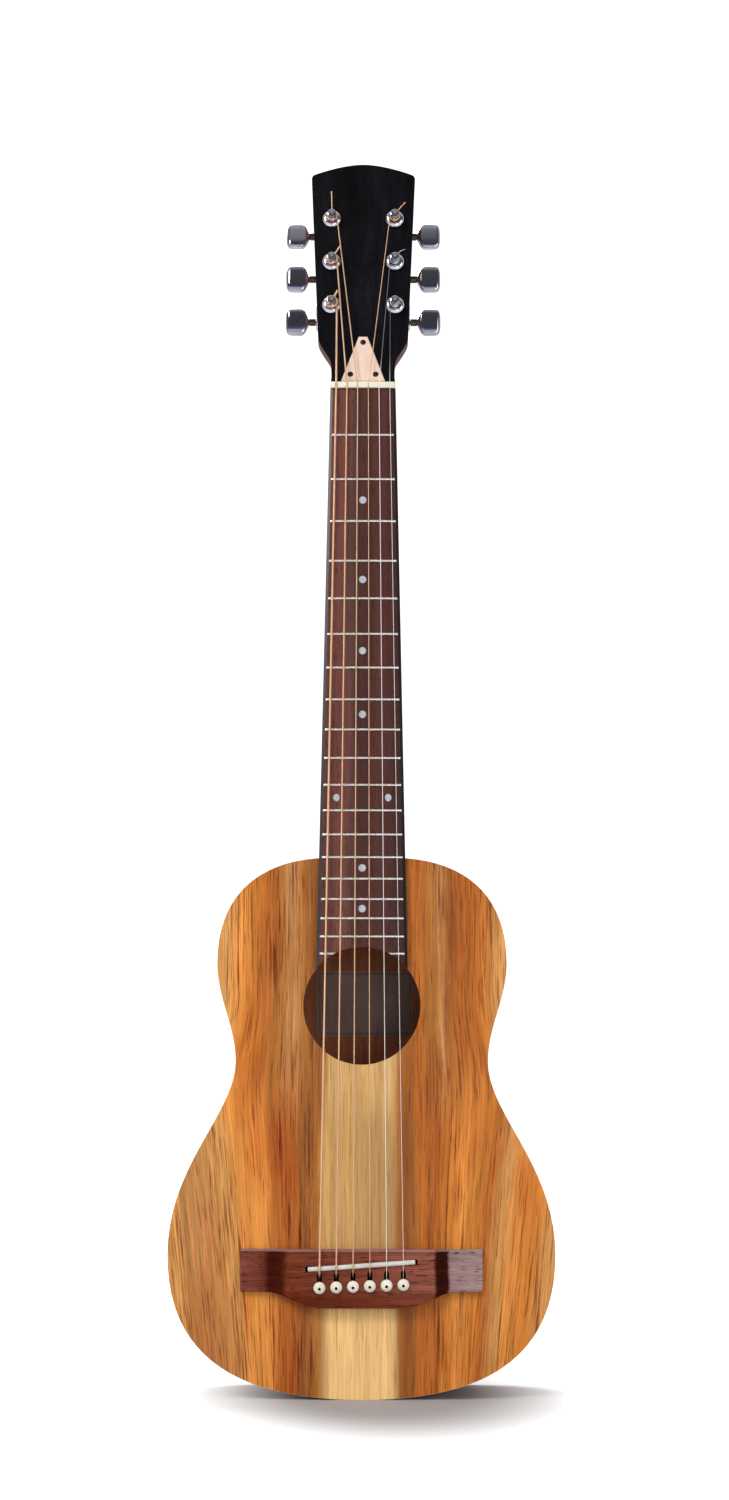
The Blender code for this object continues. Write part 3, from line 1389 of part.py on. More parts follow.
def make_housing(index, frame):
    """A die-cast case behind the headstock, pocketed for the gear and bored for the worm."""
    number = len(GAUGES) - index
    side, _, _ = post_for(index)
    front = -(HEAD_THICKNESS + GAP)
    back = front - HOUSING_HEIGHT
    edges = sorted((-side * HOUSING_INNER, side * HOUSING_OUTER))
    case = box(
        "tuner_housing_%d" % number, (edges[0], -HOUSING_BELOW, back),
        (edges[1], HOUSING_ABOVE, front), frame, CHROME,
    )
    bevel(case, HOUSING_ROUND, 60.0)
    gear_room = rod(
        "gear_room_%d" % number, (0.0, 0.0, front + MM),
        (0.0, 0.0, SHAFT_H - GEAR_HEIGHT / 2.0 - GAP),
        (GEAR_PITCH_RADIUS + TOOTH_ADDENDUM + GAP) / math.cos(math.pi / ROOM_STEPS),
        ROOM_STEPS, frame,
    )
    centre_d = -WORM_CENTRE_DISTANCE
    half_run = WORM_TURNS * WORM_PITCH / 2.0 + WORM_PITCH + GAP
    worm_room = rod(
        "worm_room_%d" % number, (-half_run, centre_d, SHAFT_H), (half_run, centre_d, SHAFT_H),
        (WORM_PITCH_RADIUS + TOOTH_ADDENDUM + GAP) / math.cos(math.pi / SHAFT_STEPS),
        SHAFT_STEPS, frame,
    )
    shaft_room = rod(
        "shaft_room_%d" % number, (0.0, centre_d, SHAFT_H),
        (side * (HOUSING_OUTER + MM), centre_d, SHAFT_H),
        (SHAFT_RADIUS + GAP) / math.cos(math.pi / SHAFT_STEPS), SHAFT_STEPS, frame,
    )
    return cut(case, gear_room, worm_room, shaft_room)


def make_button(index, frame):
    """A keystone button with a round collar, on the end of the worm's shaft."""
    number = len(GAUGES) - index
    side, _, _ = post_for(index)
    centre_d = -WORM_CENTRE_DISTANCE
    start = COLLAR_START + COLLAR_LENGTH
    end = start + BUTTON_LENGTH
    right = [
        (start, COLLAR_RADIUS), (start + BUTTON_LENGTH * 0.17, BUTTON_CORNER_HALF),
        (start + BUTTON_LENGTH * 0.22, BUTTON_HALF), (start + BUTTON_LENGTH * 0.68, BUTTON_HALF),
        (start + BUTTON_LENGTH * 0.88, BUTTON_HALF * 0.78),
        (start + BUTTON_LENGTH * 0.98, BUTTON_HALF * 0.4), (end, 0.0),
    ]
    outline = right + [(x, -d) for x, d in reversed(right[:-1])]
    placed = [(side * x, centre_d + d) for x, d in outline]
    half = BUTTON_THICKNESS / 2.0
    button = flat_piece(
        "tuner_button_%d" % number, [placed], SHAFT_H - half, SHAFT_H + half, frame, CHROME
    )
    bevel(button, BUTTON_ROUND, 60.0)
    collar = rod(
        "collar_%d" % number, (side * COLLAR_START, centre_d, SHAFT_H),
        (side * (start + 2.0 * MM), centre_d, SHAFT_H), COLLAR_RADIUS, 10, frame,
    )
    bore = rod(
        "button_bore_%d" % number, (side * (COLLAR_START - MM), centre_d, SHAFT_H),
        (side * (COLLAR_START + SHAFT_IN_BUTTON + GAP), centre_d, SHAFT_H),
        (SHAFT_RADIUS + GAP) / math.cos(math.pi / SHAFT_STEPS), SHAFT_STEPS, frame,
    )
    return cut(fuse(button, collar), bore)


def make_tuner(index):
    _, post_x, post_d = post_for(index)
    frame = HEAD_FRAME @ Matrix.Translation((post_x, post_d, 0.0))
    make_post(index, frame)
    make_bushing(index, frame)
    make_worm_shaft(index, frame)
    make_housing(index, frame)
    make_button(index, frame)


def build():
    make_blocks()
    make_soundboard()
    make_back_plate()
    make_side("side_bass", -1)
    make_side("side_treble", 1)
    make_braces()
    make_bridge_plate()
    make_bridge()
    make_saddle()
    make_neck()
    make_headstock_veneer()
    make_fingerboard()
    make_nut()
    make_truss_rod()
    make_truss_rod_cover()
    for index in range(len(GAUGES)):
        make_pin(index)
        make_string(index)
        make_tuner(index)


build()
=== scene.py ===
"""Looks of the travel guitar: fine shapes, finishes, small fittings, stage, light and camera.

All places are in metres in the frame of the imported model: +Z up the neck, the face looks along -Y.
Heights called h are measured out of the soundboard's face, so Y = TOP_Y - h.
"""

import math

import bmesh
import bpy
from mathutils import Matrix, Vector
from mathutils.geometry import interpolate_bezier


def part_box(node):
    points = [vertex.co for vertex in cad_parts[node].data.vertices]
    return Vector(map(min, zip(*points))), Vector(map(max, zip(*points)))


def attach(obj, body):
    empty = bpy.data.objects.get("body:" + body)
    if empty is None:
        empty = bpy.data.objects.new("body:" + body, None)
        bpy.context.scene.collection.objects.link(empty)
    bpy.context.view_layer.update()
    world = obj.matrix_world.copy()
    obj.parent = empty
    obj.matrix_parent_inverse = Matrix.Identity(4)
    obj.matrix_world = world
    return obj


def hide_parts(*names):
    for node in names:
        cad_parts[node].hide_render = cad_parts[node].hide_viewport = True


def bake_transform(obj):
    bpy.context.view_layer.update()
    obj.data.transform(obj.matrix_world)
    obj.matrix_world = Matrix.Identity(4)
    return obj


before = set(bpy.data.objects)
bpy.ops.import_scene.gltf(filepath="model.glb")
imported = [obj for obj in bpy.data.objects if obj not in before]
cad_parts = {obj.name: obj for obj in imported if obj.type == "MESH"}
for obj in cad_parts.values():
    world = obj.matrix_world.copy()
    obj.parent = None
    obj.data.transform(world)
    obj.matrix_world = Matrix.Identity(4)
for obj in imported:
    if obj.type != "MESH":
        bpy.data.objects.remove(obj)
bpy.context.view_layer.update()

MM = 0.001
GAP = 0.3 * MM
BODY = "guitar"

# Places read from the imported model
TOP_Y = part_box("soundboard")[0][1]
NUT_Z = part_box("nut")[0][2]
NUT_BACK_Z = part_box("nut")[1][2]
BODY_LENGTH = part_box("soundboard")[1][2]
LOWER_BOUT_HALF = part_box("soundboard")[1][0]
BRIDGE_FRONT_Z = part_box("bridge")[1][2]
BRIDGE_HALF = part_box("bridge")[1][0]

# Scale and frets
SCALE_LENGTH = 559.0 * MM
FRET_COUNT = 19

# Body outline, right half, and depths
LOWER_BOUT_Z = 92.0 * MM
WAIST_HALF = 81.6 * MM
WAIST_Z = 214.9 * MM
UPPER_BOUT_HALF = 93.9 * MM
UPPER_BOUT_Z = 278.6 * MM
SHOULDER_FLAT_HALF = 20.0 * MM
TAIL_HANDLE = 73.8 * MM
LOWER_BOUT_HANDLES = (69.0 * MM, 57.0 * MM)
WAIST_HANDLES = (33.4 * MM, 22.9 * MM)
UPPER_BOUT_HANDLES = (23.0 * MM, 53.4 * MM)
SHOULDER_HANDLE = 35.6 * MM
OUTLINE_STEPS = (22, 18, 16, 20)
BODY_DEPTH_TAIL = 80.0 * MM
BODY_DEPTH_HEEL = 72.0 * MM
PLATE_THICKNESS = 2.8 * MM
SIDE_THICKNESS = 2.0 * MM
LINING_WIDTH = 5.0 * MM
LINING_HEIGHT = 12.0 * MM
PLATE_EDGE_ROUND = 1.1 * MM
SOUNDHOLE_RADIUS = 38.0 * MM
SOUNDHOLE_Z = 251.0 * MM
SOUNDHOLE_STEPS = 96

# Fingerboard, nut and saddle
NUT_WIDTH = 43.2 * MM
WIDTH_AT_12TH = 54.9 * MM
BOARD_THICKNESS = 6.0 * MM
BOARD_RADIUS = 400.0 * MM
BOARD_ROLL_AT_NUT = 1.7 * MM
BOARD_ROLL_AT_HOLE = 2.3 * MM
FRET_HEIGHT = 1.0 * MM
FRET_WIDTH = 1.6 * MM
FRET_SET_IN = 1.8 * MM
DOT_FRETS = (3, 5, 7, 9, 15, 17)
DOUBLE_DOT_FRET = 12
DOUBLE_DOT_X = 16.6 * MM
DOT_RADIUS = 2.4 * MM
NUT_SPREAD = 35.3 * MM
SADDLE_SPREAD = 53.6 * MM
SADDLE_LENGTH = 69.0 * MM
SADDLE_THICKNESS = 3.0 * MM
SADDLE_DEPTH = 4.5 * MM
SADDLE_SLOT_SPARE = 1.4 * MM
COMPENSATION_TREBLE = 10.8 * MM
COMPENSATION_BASS = 14.5 * MM
ACTION_AT_NUT = 0.45 * MM
ACTION_AT_12TH = 2.2 * MM

# Bridge and pins
BRIDGE_WING_HEIGHT = 27.0 * MM
BRIDGE_BELLY = 10.0 * MM
BRIDGE_BELLY_FLAT = 22.0 * MM
BRIDGE_BELLY_HALF = 57.0 * MM
BRIDGE_THICKNESS = 7.8 * MM
BRIDGE_WING_INNER = 4.1 * MM
BRIDGE_WING_OUTER = 3.1 * MM
BRIDGE_CENTRE_HALF = 47.0 * MM
BRIDGE_SCOOP = 10.5 * MM
BRIDGE_EDGE_ROUND = 0.6 * MM
PIN_FROM_FRONT_BASS = 24.0 * MM
PIN_FROM_FRONT_TREBLE = 22.0 * MM
PIN_HEAD_RADIUS = 3.85 * MM
PIN_HEAD_HEIGHT = 3.2 * MM
PIN_RADIUS = 2.35 * MM
PIN_TIP_RADIUS = 1.8 * MM
PIN_BELOW_TOP = 13.5 * MM
SLOT_WIDTH = 3.2 * MM
SLOT_REACH = 9.2 * MM
SLOT_DEPTH = 2.9 * MM
SLOT_MOUTH_DEPTH = 1.6 * MM

# Strings, bass first
GAUGES = (1.35 * MM, 1.07 * MM, 0.81 * MM, 0.61 * MM, 0.41 * MM, 0.30 * MM)
TAIL_ANGLES = (60.0, 55.0, 90.0, 122.0, 118.0, 200.0)
TAIL_LENGTHS = (5.3 * MM, 6.6 * MM, 13.5 * MM, 8.5 * MM, 6.8 * MM, 3.6 * MM)
TAIL_BENDS = (4.0, 2.0, 2.0, 16.0, 50.0, 0.0)
HOLE_LEAD = 25.0
WRAP_SPARE = 0.5 * MM
WRAP_START = 6.5 * MM
LOOP_STEPS = 40
WIRE_SIDES = 12

# Neck and heel
NECK_DEPTH_NUT = 13.5 * MM
NECK_DEPTH_HEEL = 16.0 * MM
NECK_ROUNDNESS = 2.2
HEEL_LENGTH = 42.0 * MM
HEEL_DEPTH = 84.0 * MM
HEEL_ROUNDNESS = 1.5
HEEL_CAP_INSET = 3.0 * MM
ROD_WIDTH = 6.0 * MM
ROD_DEPTH = 9.0 * MM

# Headstock: distances called d run along it from the back of the nut
HEAD_TILT = math.radians(10.0)
HEAD_ROOT_Z = NUT_BACK_Z + GAP
HEAD_THICKNESS = 10.8 * MM
VENEER_FACE = 1.8 * MM
HEAD_HALF_AT_NUT = 20.9 * MM
HEAD_WAIST_D = 12.0 * MM
HEAD_SHOULDER_HALF = 30.0 * MM
HEAD_SHOULDER_D = 32.4 * MM
HEAD_TOP_HALF = 35.1 * MM
HEAD_CORNER_D = 149.9 * MM
HEAD_CORNER_ROUND = 2.4 * MM
HEAD_CORNER_RISE = 1.5 * MM
HEAD_CROWN_HANDLES = (22.0 * MM, 9.0 * MM)
HEAD_CROWN_DROP = 3.2 * MM
HEAD_LENGTH = 158.9 * MM
CAVITY_HALF = 5.0 * MM
CAVITY_LENGTH = 18.0 * MM
COVER_BASE_HALF = 14.6 * MM
COVER_TOP_HALF = 2.9 * MM
COVER_LENGTH = 32.0 * MM
COVER_THICKNESS = 1.5 * MM
COVER_SCREW_RADIUS = 1.9 * MM
COVER_SCREWS = ((0.0 * MM, 27.9 * MM), (-8.4 * MM, 5.0 * MM), (8.4 * MM, 5.0 * MM))

# Tuning machines
POST_X = 21.1 * MM
POST_D = (55.1 * MM, 86.6 * MM, 118.1 * MM)
POST_RADIUS = 3.0 * MM
POST_WAIST_RADIUS = 2.6 * MM
POST_TOP = 12.0 * MM
POST_HOLE_RADIUS = 0.95 * MM
DOME_RADIUS = 6.5 * MM
DOME_TOP_RADIUS = 3.9 * MM
DOME_HEIGHT = 3.2 * MM
SLEEVE_RADIUS = 4.2 * MM
SLEEVE_DEPTH = 9.0 * MM
SHAFT_H = -(HEAD_THICKNESS + 3.4 * MM)
SHAFT_RADIUS = 1.5 * MM
SHAFT_D = -4.8 * MM
GEAR_HEIGHT = 3.6 * MM
GEAR_RADIUS = 3.2 * MM
GEAR_TEETH = 14
WORM_ROOM_RADIUS = 2.4 * MM
WORM_ROOM_HALF = 5.4 * MM
GEAR_ROOM_RADIUS = 4.0 * MM
HOUSING_INNER = 7.0 * MM
HOUSING_OUTER = 10.5 * MM
HOUSING_ABOVE = 7.5 * MM
HOUSING_BELOW = 9.5 * MM
HOUSING_HEIGHT = 8.4 * MM
HOUSING_ROUND = 1.5 * MM
COLLAR_START = 10.8 * MM
COLLAR_RADIUS = 2.9 * MM
COLLAR_LENGTH = 4.8 * MM
BUTTON_LENGTH = 15.3 * MM
BUTTON_HALF = 9.2 * MM
BUTTON_THICKNESS = 6.0 * MM
# How far each button is turned from level, string 6 to string 1
BUTTON_TURNS = (9.0, 5.0, -7.0, -3.0, 4.0, 7.0)

FACE_FRAME = Matrix(((1, 0, 0, 0), (0, 0, -1, TOP_Y), (0, 1, 0, 0), (0, 0, 0, 1)))
HEAD_FRAME = (
    FACE_FRAME @ Matrix.Translation((0, HEAD_ROOT_Z, 0)) @ Matrix.Rotation(-HEAD_TILT, 4, "X")
)
FRET_TOP = BOARD_THICKNESS + FRET_HEIGHT
STRING_UNDER_NUT = FRET_TOP + ACTION_AT_NUT
STRING_UNDER_SADDLE = STRING_UNDER_NUT + 2.0 * (ACTION_AT_12TH - ACTION_AT_NUT)


def srgb(red, green, blue):
    """A colour given as seen on a screen, as the linear values that a shader takes."""
    linear = []
    for value in (red / 255.0, green / 255.0, blue / 255.0):
        linear.append(value / 12.92 if value <= 0.04045 else ((value + 0.055) / 1.055) ** 2.4)
    return (*linear, 1.0)


class Look:
    """A material, with short calls that add nodes to it."""

    def __init__(self, name, roughness=0.5, metallic=0.0, colour=None, **sockets):
        self.material = bpy.data.materials.new(name)
        self.material.use_nodes = True
        self.tree = self.material.node_tree
        self.shader = self.tree.nodes["Principled BSDF"]
        self.shader.inputs["Roughness"].default_value = roughness
        self.shader.inputs["Metallic"].default_value = metallic
        self.source = self.node("TexCoord", {}).outputs["Object"]
        if colour:
            self.shader.inputs["Base Color"].default_value = colour
        for socket, value in sockets.items():
            self.shader.inputs[socket.replace("_", " ")].default_value = value

    def node(self, kind, inputs, **settings):
        made = self.tree.nodes.new("ShaderNode" + kind)
        for name, value in settings.items():
            setattr(made, name, value)
        for key, value in inputs.items():
            if isinstance(value, bpy.types.NodeSocket):
                self.tree.links.new(value, made.inputs[key])
            else:
                made.inputs[key].default_value = value
        return made

    def axis(self, name):
        return self.node("SeparateXYZ", {"Vector": self.source}).outputs[name]

    def noise(self, scale, detail=3.0, roughness=0.5, offset=(0.0, 0.0, 0.0), distortion=0.0):
        """Noise with its own scale along each axis, in cycles a metre."""
        place = self.node("Mapping", {"Vector": self.source, "Scale": scale, "Location": offset})
        inputs = {
            "Vector": place.outputs[0], "Scale": 1.0, "Detail": detail,
            "Roughness": roughness, "Distortion": distortion,
        }
        return self.node("TexNoise", inputs).outputs["Fac"]

    def math(self, operation, first, second=0.0, third=0.0):
        inputs = {0: first, 1: second, 2: third}
        return self.node("Math", inputs, operation=operation).outputs[0]

    def centred(self, value, amount):
        """A value from 0 to 1 turned into one that swings to both sides of 0."""
        return self.math("MULTIPLY", self.math("SUBTRACT", value, 0.5), amount)

    def smooth(self, value, low, high, start=0.0, end=1.0):
        inputs = {
            "Value": value, "From Min": low, "From Max": high, "To Min": start, "To Max": end
        }
        return self.node("MapRange", inputs, interpolation_type="SMOOTHSTEP").outputs[0]

    def ramp(self, value, stops):
        made = self.node("ValToRGB", {"Fac": value})
        elements = made.color_ramp.elements
        while len(elements) < len(stops):
            elements.new(0.5)
        for element, (position, colour) in zip(elements, stops):
            element.position = position
        for element, (position, colour) in zip(elements, stops):
            element.color = colour
        return made.outputs["Color"]

    def mix(self, factor, first, second, blend="MIX"):
        made = self.node("Mix", {"Factor": factor}, data_type="RGBA", blend_type=blend)
        for socket, value in ((made.inputs[6], first), (made.inputs[7], second)):
            if isinstance(value, bpy.types.NodeSocket):
                self.tree.links.new(value, socket)
            else:
                socket.default_value = value
        return made.outputs[2]

    def darken(self, colour, amount, shade):
        """Multiplies a colour by a shade where the amount is high."""
        return self.mix(amount, colour, shade, "MULTIPLY")

    def vary(self, colour, value, low, high):
        """Brightens and dims a colour as a value runs from 0 to 1."""
        level = self.smooth(value, 0.25, 0.75, low, high)
        grey = self.node("CombineColor", {"Red": level, "Green": level, "Blue": level})
        return self.mix(1.0, colour, grey.outputs[0], "MULTIPLY")

    def colour(self, value):
        self.tree.links.new(value, self.shader.inputs["Base Color"])
        return self

    def roughness(self, value, low, high):
        level = self.smooth(value, 0.3, 0.7, low, high)
        self.tree.links.new(level, self.shader.inputs["Roughness"])
        return self

    def bump(self, height, distance):
        inputs = {"Height": height, "Distance": distance, "Strength": 1.0}
        made = self.node("Bump", inputs)
        self.tree.links.new(made.outputs[0], self.shader.inputs["Normal"])
        return self


# Tones of the figured top, and its bands from bass to treble: the place in mm from the centre
# line, and the tone. The first set is for the lower bout, the second for the upper bout.
TONES = {
    "cream": srgb(253, 207, 137), "beige": srgb(216, 170, 105), "dun": srgb(196, 153, 96),
    "sand": srgb(220, 157, 87), "tan": srgb(196, 135, 78), "orange": srgb(231, 149, 68),
    "amber": srgb(214, 130, 50), "rust": srgb(190, 107, 40), "olive": srgb(183, 117, 52),
    "umber": srgb(164, 99, 44), "walnut": srgb(146, 83, 35),
}
LOWER_BANDS = (
    (-125, "sand"), (-103, "tan"), (-94, "sand"), (-84, "sand"), (-77, "orange"),
    (-62, "orange"), (-56, "rust"), (-43, "rust"), (-38, "umber"), (-33, "umber"),
    (-28, "olive"), (-23, "beige"), (-8, "beige"), (3, "dun"), (20, "dun"), (25, "umber"),
    (29, "walnut"), (33, "umber"), (38, "rust"), (50, "rust"), (56, "amber"), (66, "orange"),
    (75, "amber"), (83, "rust"), (91, "sand"), (99, "orange"), (112, "amber"), (125, "sand"),
)
UPPER_BANDS = (
    (-125, "tan"), (-94, "sand"), (-84, "sand"), (-77, "orange"), (-68, "amber"),
    (-62, "rust"), (-52, "olive"), (-47, "tan"), (-43, "tan"), (-38, "olive"),
    (-31, "umber"), (-24, "umber"), (-20, "beige"), (20, "beige"), (24, "umber"),
    (36, "rust"), (46, "olive"), (50, "tan"), (55, "umber"), (63, "rust"), (72, "rust"),
    (79, "amber"), (88, "sand"), (97, "tan"), (125, "tan"),
)
BAND_SPAN = 250.0 * MM
BAND_HEIGHT = 105.0 * MM
FLANK_LEAN = 0.105
STRIPE_HALF = 25.0 * MM


def leaning_grain(look):
    """Turns the grain of both flanks towards the centre line as it runs down to the tail."""
    x = look.axis("X")
    far = look.math("ABSOLUTE", x)
    height = look.axis("Z")
    lean = look.smooth(far, 28.0 * MM, 100.0 * MM, 0.0, FLANK_LEAN)
    lean = look.math("MULTIPLY", lean, look.smooth(height, 180.0 * MM, 260.0 * MM, 1.0, 0.0))
    drop = look.math("SUBTRACT", BAND_HEIGHT, height)
    straight = look.math("MULTIPLY_ADD", lean, drop, far)
    across = look.math("MULTIPLY", straight, look.math("SIGN", x))
    look.source = look.node("CombineXYZ", {"X": across, "Y": look.axis("Y"), "Z": height}).outputs[0]
    return across, far, height


def band_stops(bands):
    return [(0.5 + place * MM / BAND_SPAN, TONES[tone]) for place, tone in bands]


def top_wood():
    look = Look("figured_top", roughness=0.5, Specular_IOR_Level=0.15)
    across, far, height = leaning_grain(look)
    flank = look.smooth(far, STRIPE_HALF, STRIPE_HALF + 10.0 * MM)
    reach = look.smooth(far, 20.0 * MM, 70.0 * MM, 0.06, 1.0)
    drift = look.centred(look.noise((10.0, 10.0, 5.0), 3.0, 0.55), 14.0 * MM)
    fray = look.centred(look.noise((190.0, 190.0, 12.0), 5.0, 0.65, (2.0, 0.0, 5.0)), 12.0 * MM)
    bent = look.math("MULTIPLY_ADD", drift, reach, across)
    bent = look.math("MULTIPLY_ADD", fray, look.smooth(far, 15.0 * MM, 40.0 * MM, 0.3, 1.0), bent)
    share = look.math("MULTIPLY_ADD", bent, 1.0 / BAND_SPAN, 0.5)
    lower = look.ramp(share, band_stops(LOWER_BANDS))
    upper = look.ramp(share, band_stops(UPPER_BANDS))
    colour = look.mix(look.smooth(height, 150.0 * MM, 240.0 * MM), lower, upper)
    low = look.smooth(height, 62.0 * MM, 84.0 * MM, 0.85, 0.0)
    high = look.smooth(height, 170.0 * MM, 205.0 * MM, 0.0, 0.3)
    stripe = look.smooth(far, STRIPE_HALF - 6.0 * MM, STRIPE_HALF, 1.0, 0.0)
    pale = look.math("MULTIPLY", look.math("MAXIMUM", low, high), stripe)
    colour = look.mix(pale, colour, TONES["cream"])
    broad = look.noise((150.0, 150.0, 5.0), 4.0, 0.6, (4.0, 1.0, 6.0))
    colour = look.vary(colour, broad, 0.82, 1.12)
    middle = look.noise((430.0, 430.0, 13.0), 4.0, 0.65, (3.0, 1.0, 2.0))
    streaky = look.vary(colour, middle, 0.80, 1.14)
    colour = look.mix(look.smooth(flank, 0.0, 1.0, 0.4, 1.0), colour, streaky)
    fine = look.noise((1500.0, 1500.0, 25.0), 3.0, 0.6, (9.0, 3.0, 1.0))
    colour = look.vary(colour, fine, 0.82, 1.13)
    redness = look.noise((34.0, 34.0, 9.0), 4.0, 0.6, (6.0, 2.0, 8.0))
    blush = look.math("MULTIPLY", look.smooth(redness, 0.5, 0.66, 0.0, 0.6), flank)
    colour = look.darken(colour, blush, srgb(228, 190, 160))
    clusters = look.noise((55.0, 55.0, 5.0), 3.0, 0.6, (11.0, 4.0, 9.0))
    streaks = look.noise((620.0, 620.0, 16.0), 4.0, 0.7, (5.0, 9.0, 2.0))
    veins = look.math(
        "MULTIPLY", look.smooth(clusters, 0.43, 0.57, 0.15, 1.0), look.smooth(streaks, 0.51, 0.65)
    )
    veins = look.math("MULTIPLY", veins, look.smooth(flank, 0.0, 1.0, 0.18, 0.9))
    colour = look.darken(colour, veins, srgb(150, 96, 64))
    dashes = look.noise((1300.0, 1300.0, 40.0), 2.0, 0.5, (7.0, 5.0, 1.0))
    pores = look.smooth(dashes, 0.57, 0.67, 0.0, 0.6)
    pores = look.math("MULTIPLY", pores, look.smooth(flank, 0.0, 1.0, 0.5, 1.0))
    colour = look.darken(colour, pores, srgb(150, 102, 72))
    look.colour(colour)
    return look.bump(look.math("MULTIPLY", pores, -1.0), 0.03 * MM)


def top_rim():
    """The rounded edge of a plate: pale round the tail with painted light from the floor below, brown further up.
    """
    look = Look("top_rim", roughness=0.4)
    drift = look.noise((60.0, 30.0, 60.0), 4.0, 0.6)
    height = look.math("MULTIPLY_ADD", drift, 40.0 * MM, look.axis("Z"))
    level = look.smooth(height, 60.0 * MM, 120.0 * MM)
    return look.colour(look.vary(
        look.ramp(level, [(0.0, srgb(250, 226, 188)), (1.0, srgb(196, 130, 74))]), drift, 0.9, 1.04
    ))


def streaked(look, colour, along, across, strength=1.0):
    """Wood grain over a base colour: along and across give the grain's direction as scales."""
    def scale(fine, coarse):
        return tuple(a * coarse + b * fine for a, b in zip(along, across))

    broad = look.noise(scale(260.0, 5.0), 4.0, 0.6)
    colour = look.vary(colour, broad, 1.0 - 0.16 * strength, 1.0 + 0.12 * strength)
    fine = look.noise(scale(1500.0, 24.0), 4.0, 0.65, (3.0, 1.0, 2.0))
    colour = look.vary(colour, fine, 1.0 - 0.13 * strength, 1.0 + 0.10 * strength)
    pores = look.noise(scale(2000.0, 120.0), 2.0, 0.5, (7.0, 5.0, 1.0))
    pore_mask = look.smooth(pores, 0.60, 0.68, 0.0, 0.55 * strength)
    colour = look.darken(colour, pore_mask, srgb(150, 104, 76))
    return colour, pore_mask


def plain_wood(name, tones, along, across, roughness, strength=1.0, **sockets):
    """Wood of two tones that drift into each other along the grain."""
    look = Look(name, roughness=roughness, **sockets)
    scale = tuple(a * 4.0 + b * 60.0 for a, b in zip(along, across))
    drift = look.noise(scale, 4.0, 0.6, (5.0, 2.0, 8.0), 0.3)
    colour = look.ramp(drift, [(0.3, srgb(*tones[0])), (0.7, srgb(*tones[1]))])
    colour, pores = streaked(look, colour, along, across, strength)
    look.colour(colour)
    return look.bump(look.math("MULTIPLY", pores, -1.0), 0.04 * MM)


ALONG_Z = (0.0, 0.0, 1.0)
ALONG_X = (1.0, 0.0, 0.0)
ROUND_SIDES = (1.0, 0.0, 1.0)
ACROSS_Y = (0.0, 1.0, 0.0)
ACROSS_XY = (1.0, 1.0, 0.0)
ACROSS_YZ = (0.0, 1.0, 1.0)


def metal(name, colour, roughness, mottle):
    """Polished metal whose gloss is not quite even."""
    look = Look(name, roughness=roughness, metallic=1.0)
    smear = look.noise((420.0, 420.0, 420.0), 3.0, 0.6)
    look.colour(look.vary(look.ramp(smear, [(0.0, colour), (1.0, colour)]), smear, mottle, 1.0))
    return look.roughness(smear, roughness * 0.7, roughness * 1.5)


def wound_metal(name, light, dark):
    """Bronze winding: fine rings along the string, with painted shade where it sinks into the bridge's slot."""
    look = Look(name, roughness=0.36, metallic=0.75)
    rings = look.math("SINE", look.math("MULTIPLY", look.axis("Z"), 2.0 * math.pi / (0.42 * MM)))
    shade = look.smooth(rings, -1.0, 1.0, 0.0, 1.0)
    # Painted shade where the string runs down into its slot in the bridge.
    slot = look.smooth(look.axis("Z"), BRIDGE_FRONT_Z - 18.0 * MM, BRIDGE_FRONT_Z - 13.5 * MM, 1.0, 0.0)
    look.colour(look.darken(look.mix(shade, dark, light), slot, srgb(60, 48, 42)))
    return look.bump(shade, 0.05 * MM)


def plain_wire():
    """Plain steel, with painted light: bright over the board and dim over the dark headstock."""
    look = Look("plain_wire", roughness=0.5, metallic=0.3)
    height = look.smooth(look.axis("Z"), NUT_Z, NUT_BACK_Z + 20.0 * MM)
    # Painted light and shade along the string, by height.
    tone = look.ramp(height, [(0.0, srgb(255, 252, 246)), (1.0, srgb(120, 122, 126))])
    return look.colour(look.vary(tone, look.noise((300.0, 300.0, 60.0), 3.0, 0.6), 0.92, 1.0))


def speckled(name, light, dark, scale, roughness, **sockets):
    """Bone, plastic and paper: a colour with faint cloudy spots."""
    look = Look(name, roughness=roughness, **sockets)
    cloud = look.noise((scale, scale, scale * 0.4), 4.0, 0.6)
    look.colour(look.ramp(cloud, [(0.35, srgb(*dark)), (0.65, srgb(*light))]))
    return look


# Tones of the bridge from bass to treble: the place in mm from the centre line, and the tone.
# The scoops between its middle and its wings are nearly black with painted shade, and the treble wing, with more
# faintly the treble half of the middle, is paler and greyer with a painted sheen.
BRIDGE_BANDS = (
    (-78, (126, 70, 60)), (-64, (112, 54, 42)), (-59, (60, 19, 8)), (-51, (72, 26, 12)),
    (-47, (122, 58, 36)), (-30, (120, 60, 44)), (0, (132, 70, 52)), (30, (142, 82, 66)),
    (46, (146, 86, 70)), (48, (56, 16, 6)), (55, (50, 15, 7)), (57, (152, 124, 122)),
    (78, (162, 136, 134)),
)
BRIDGE_SPAN = 160.0 * MM


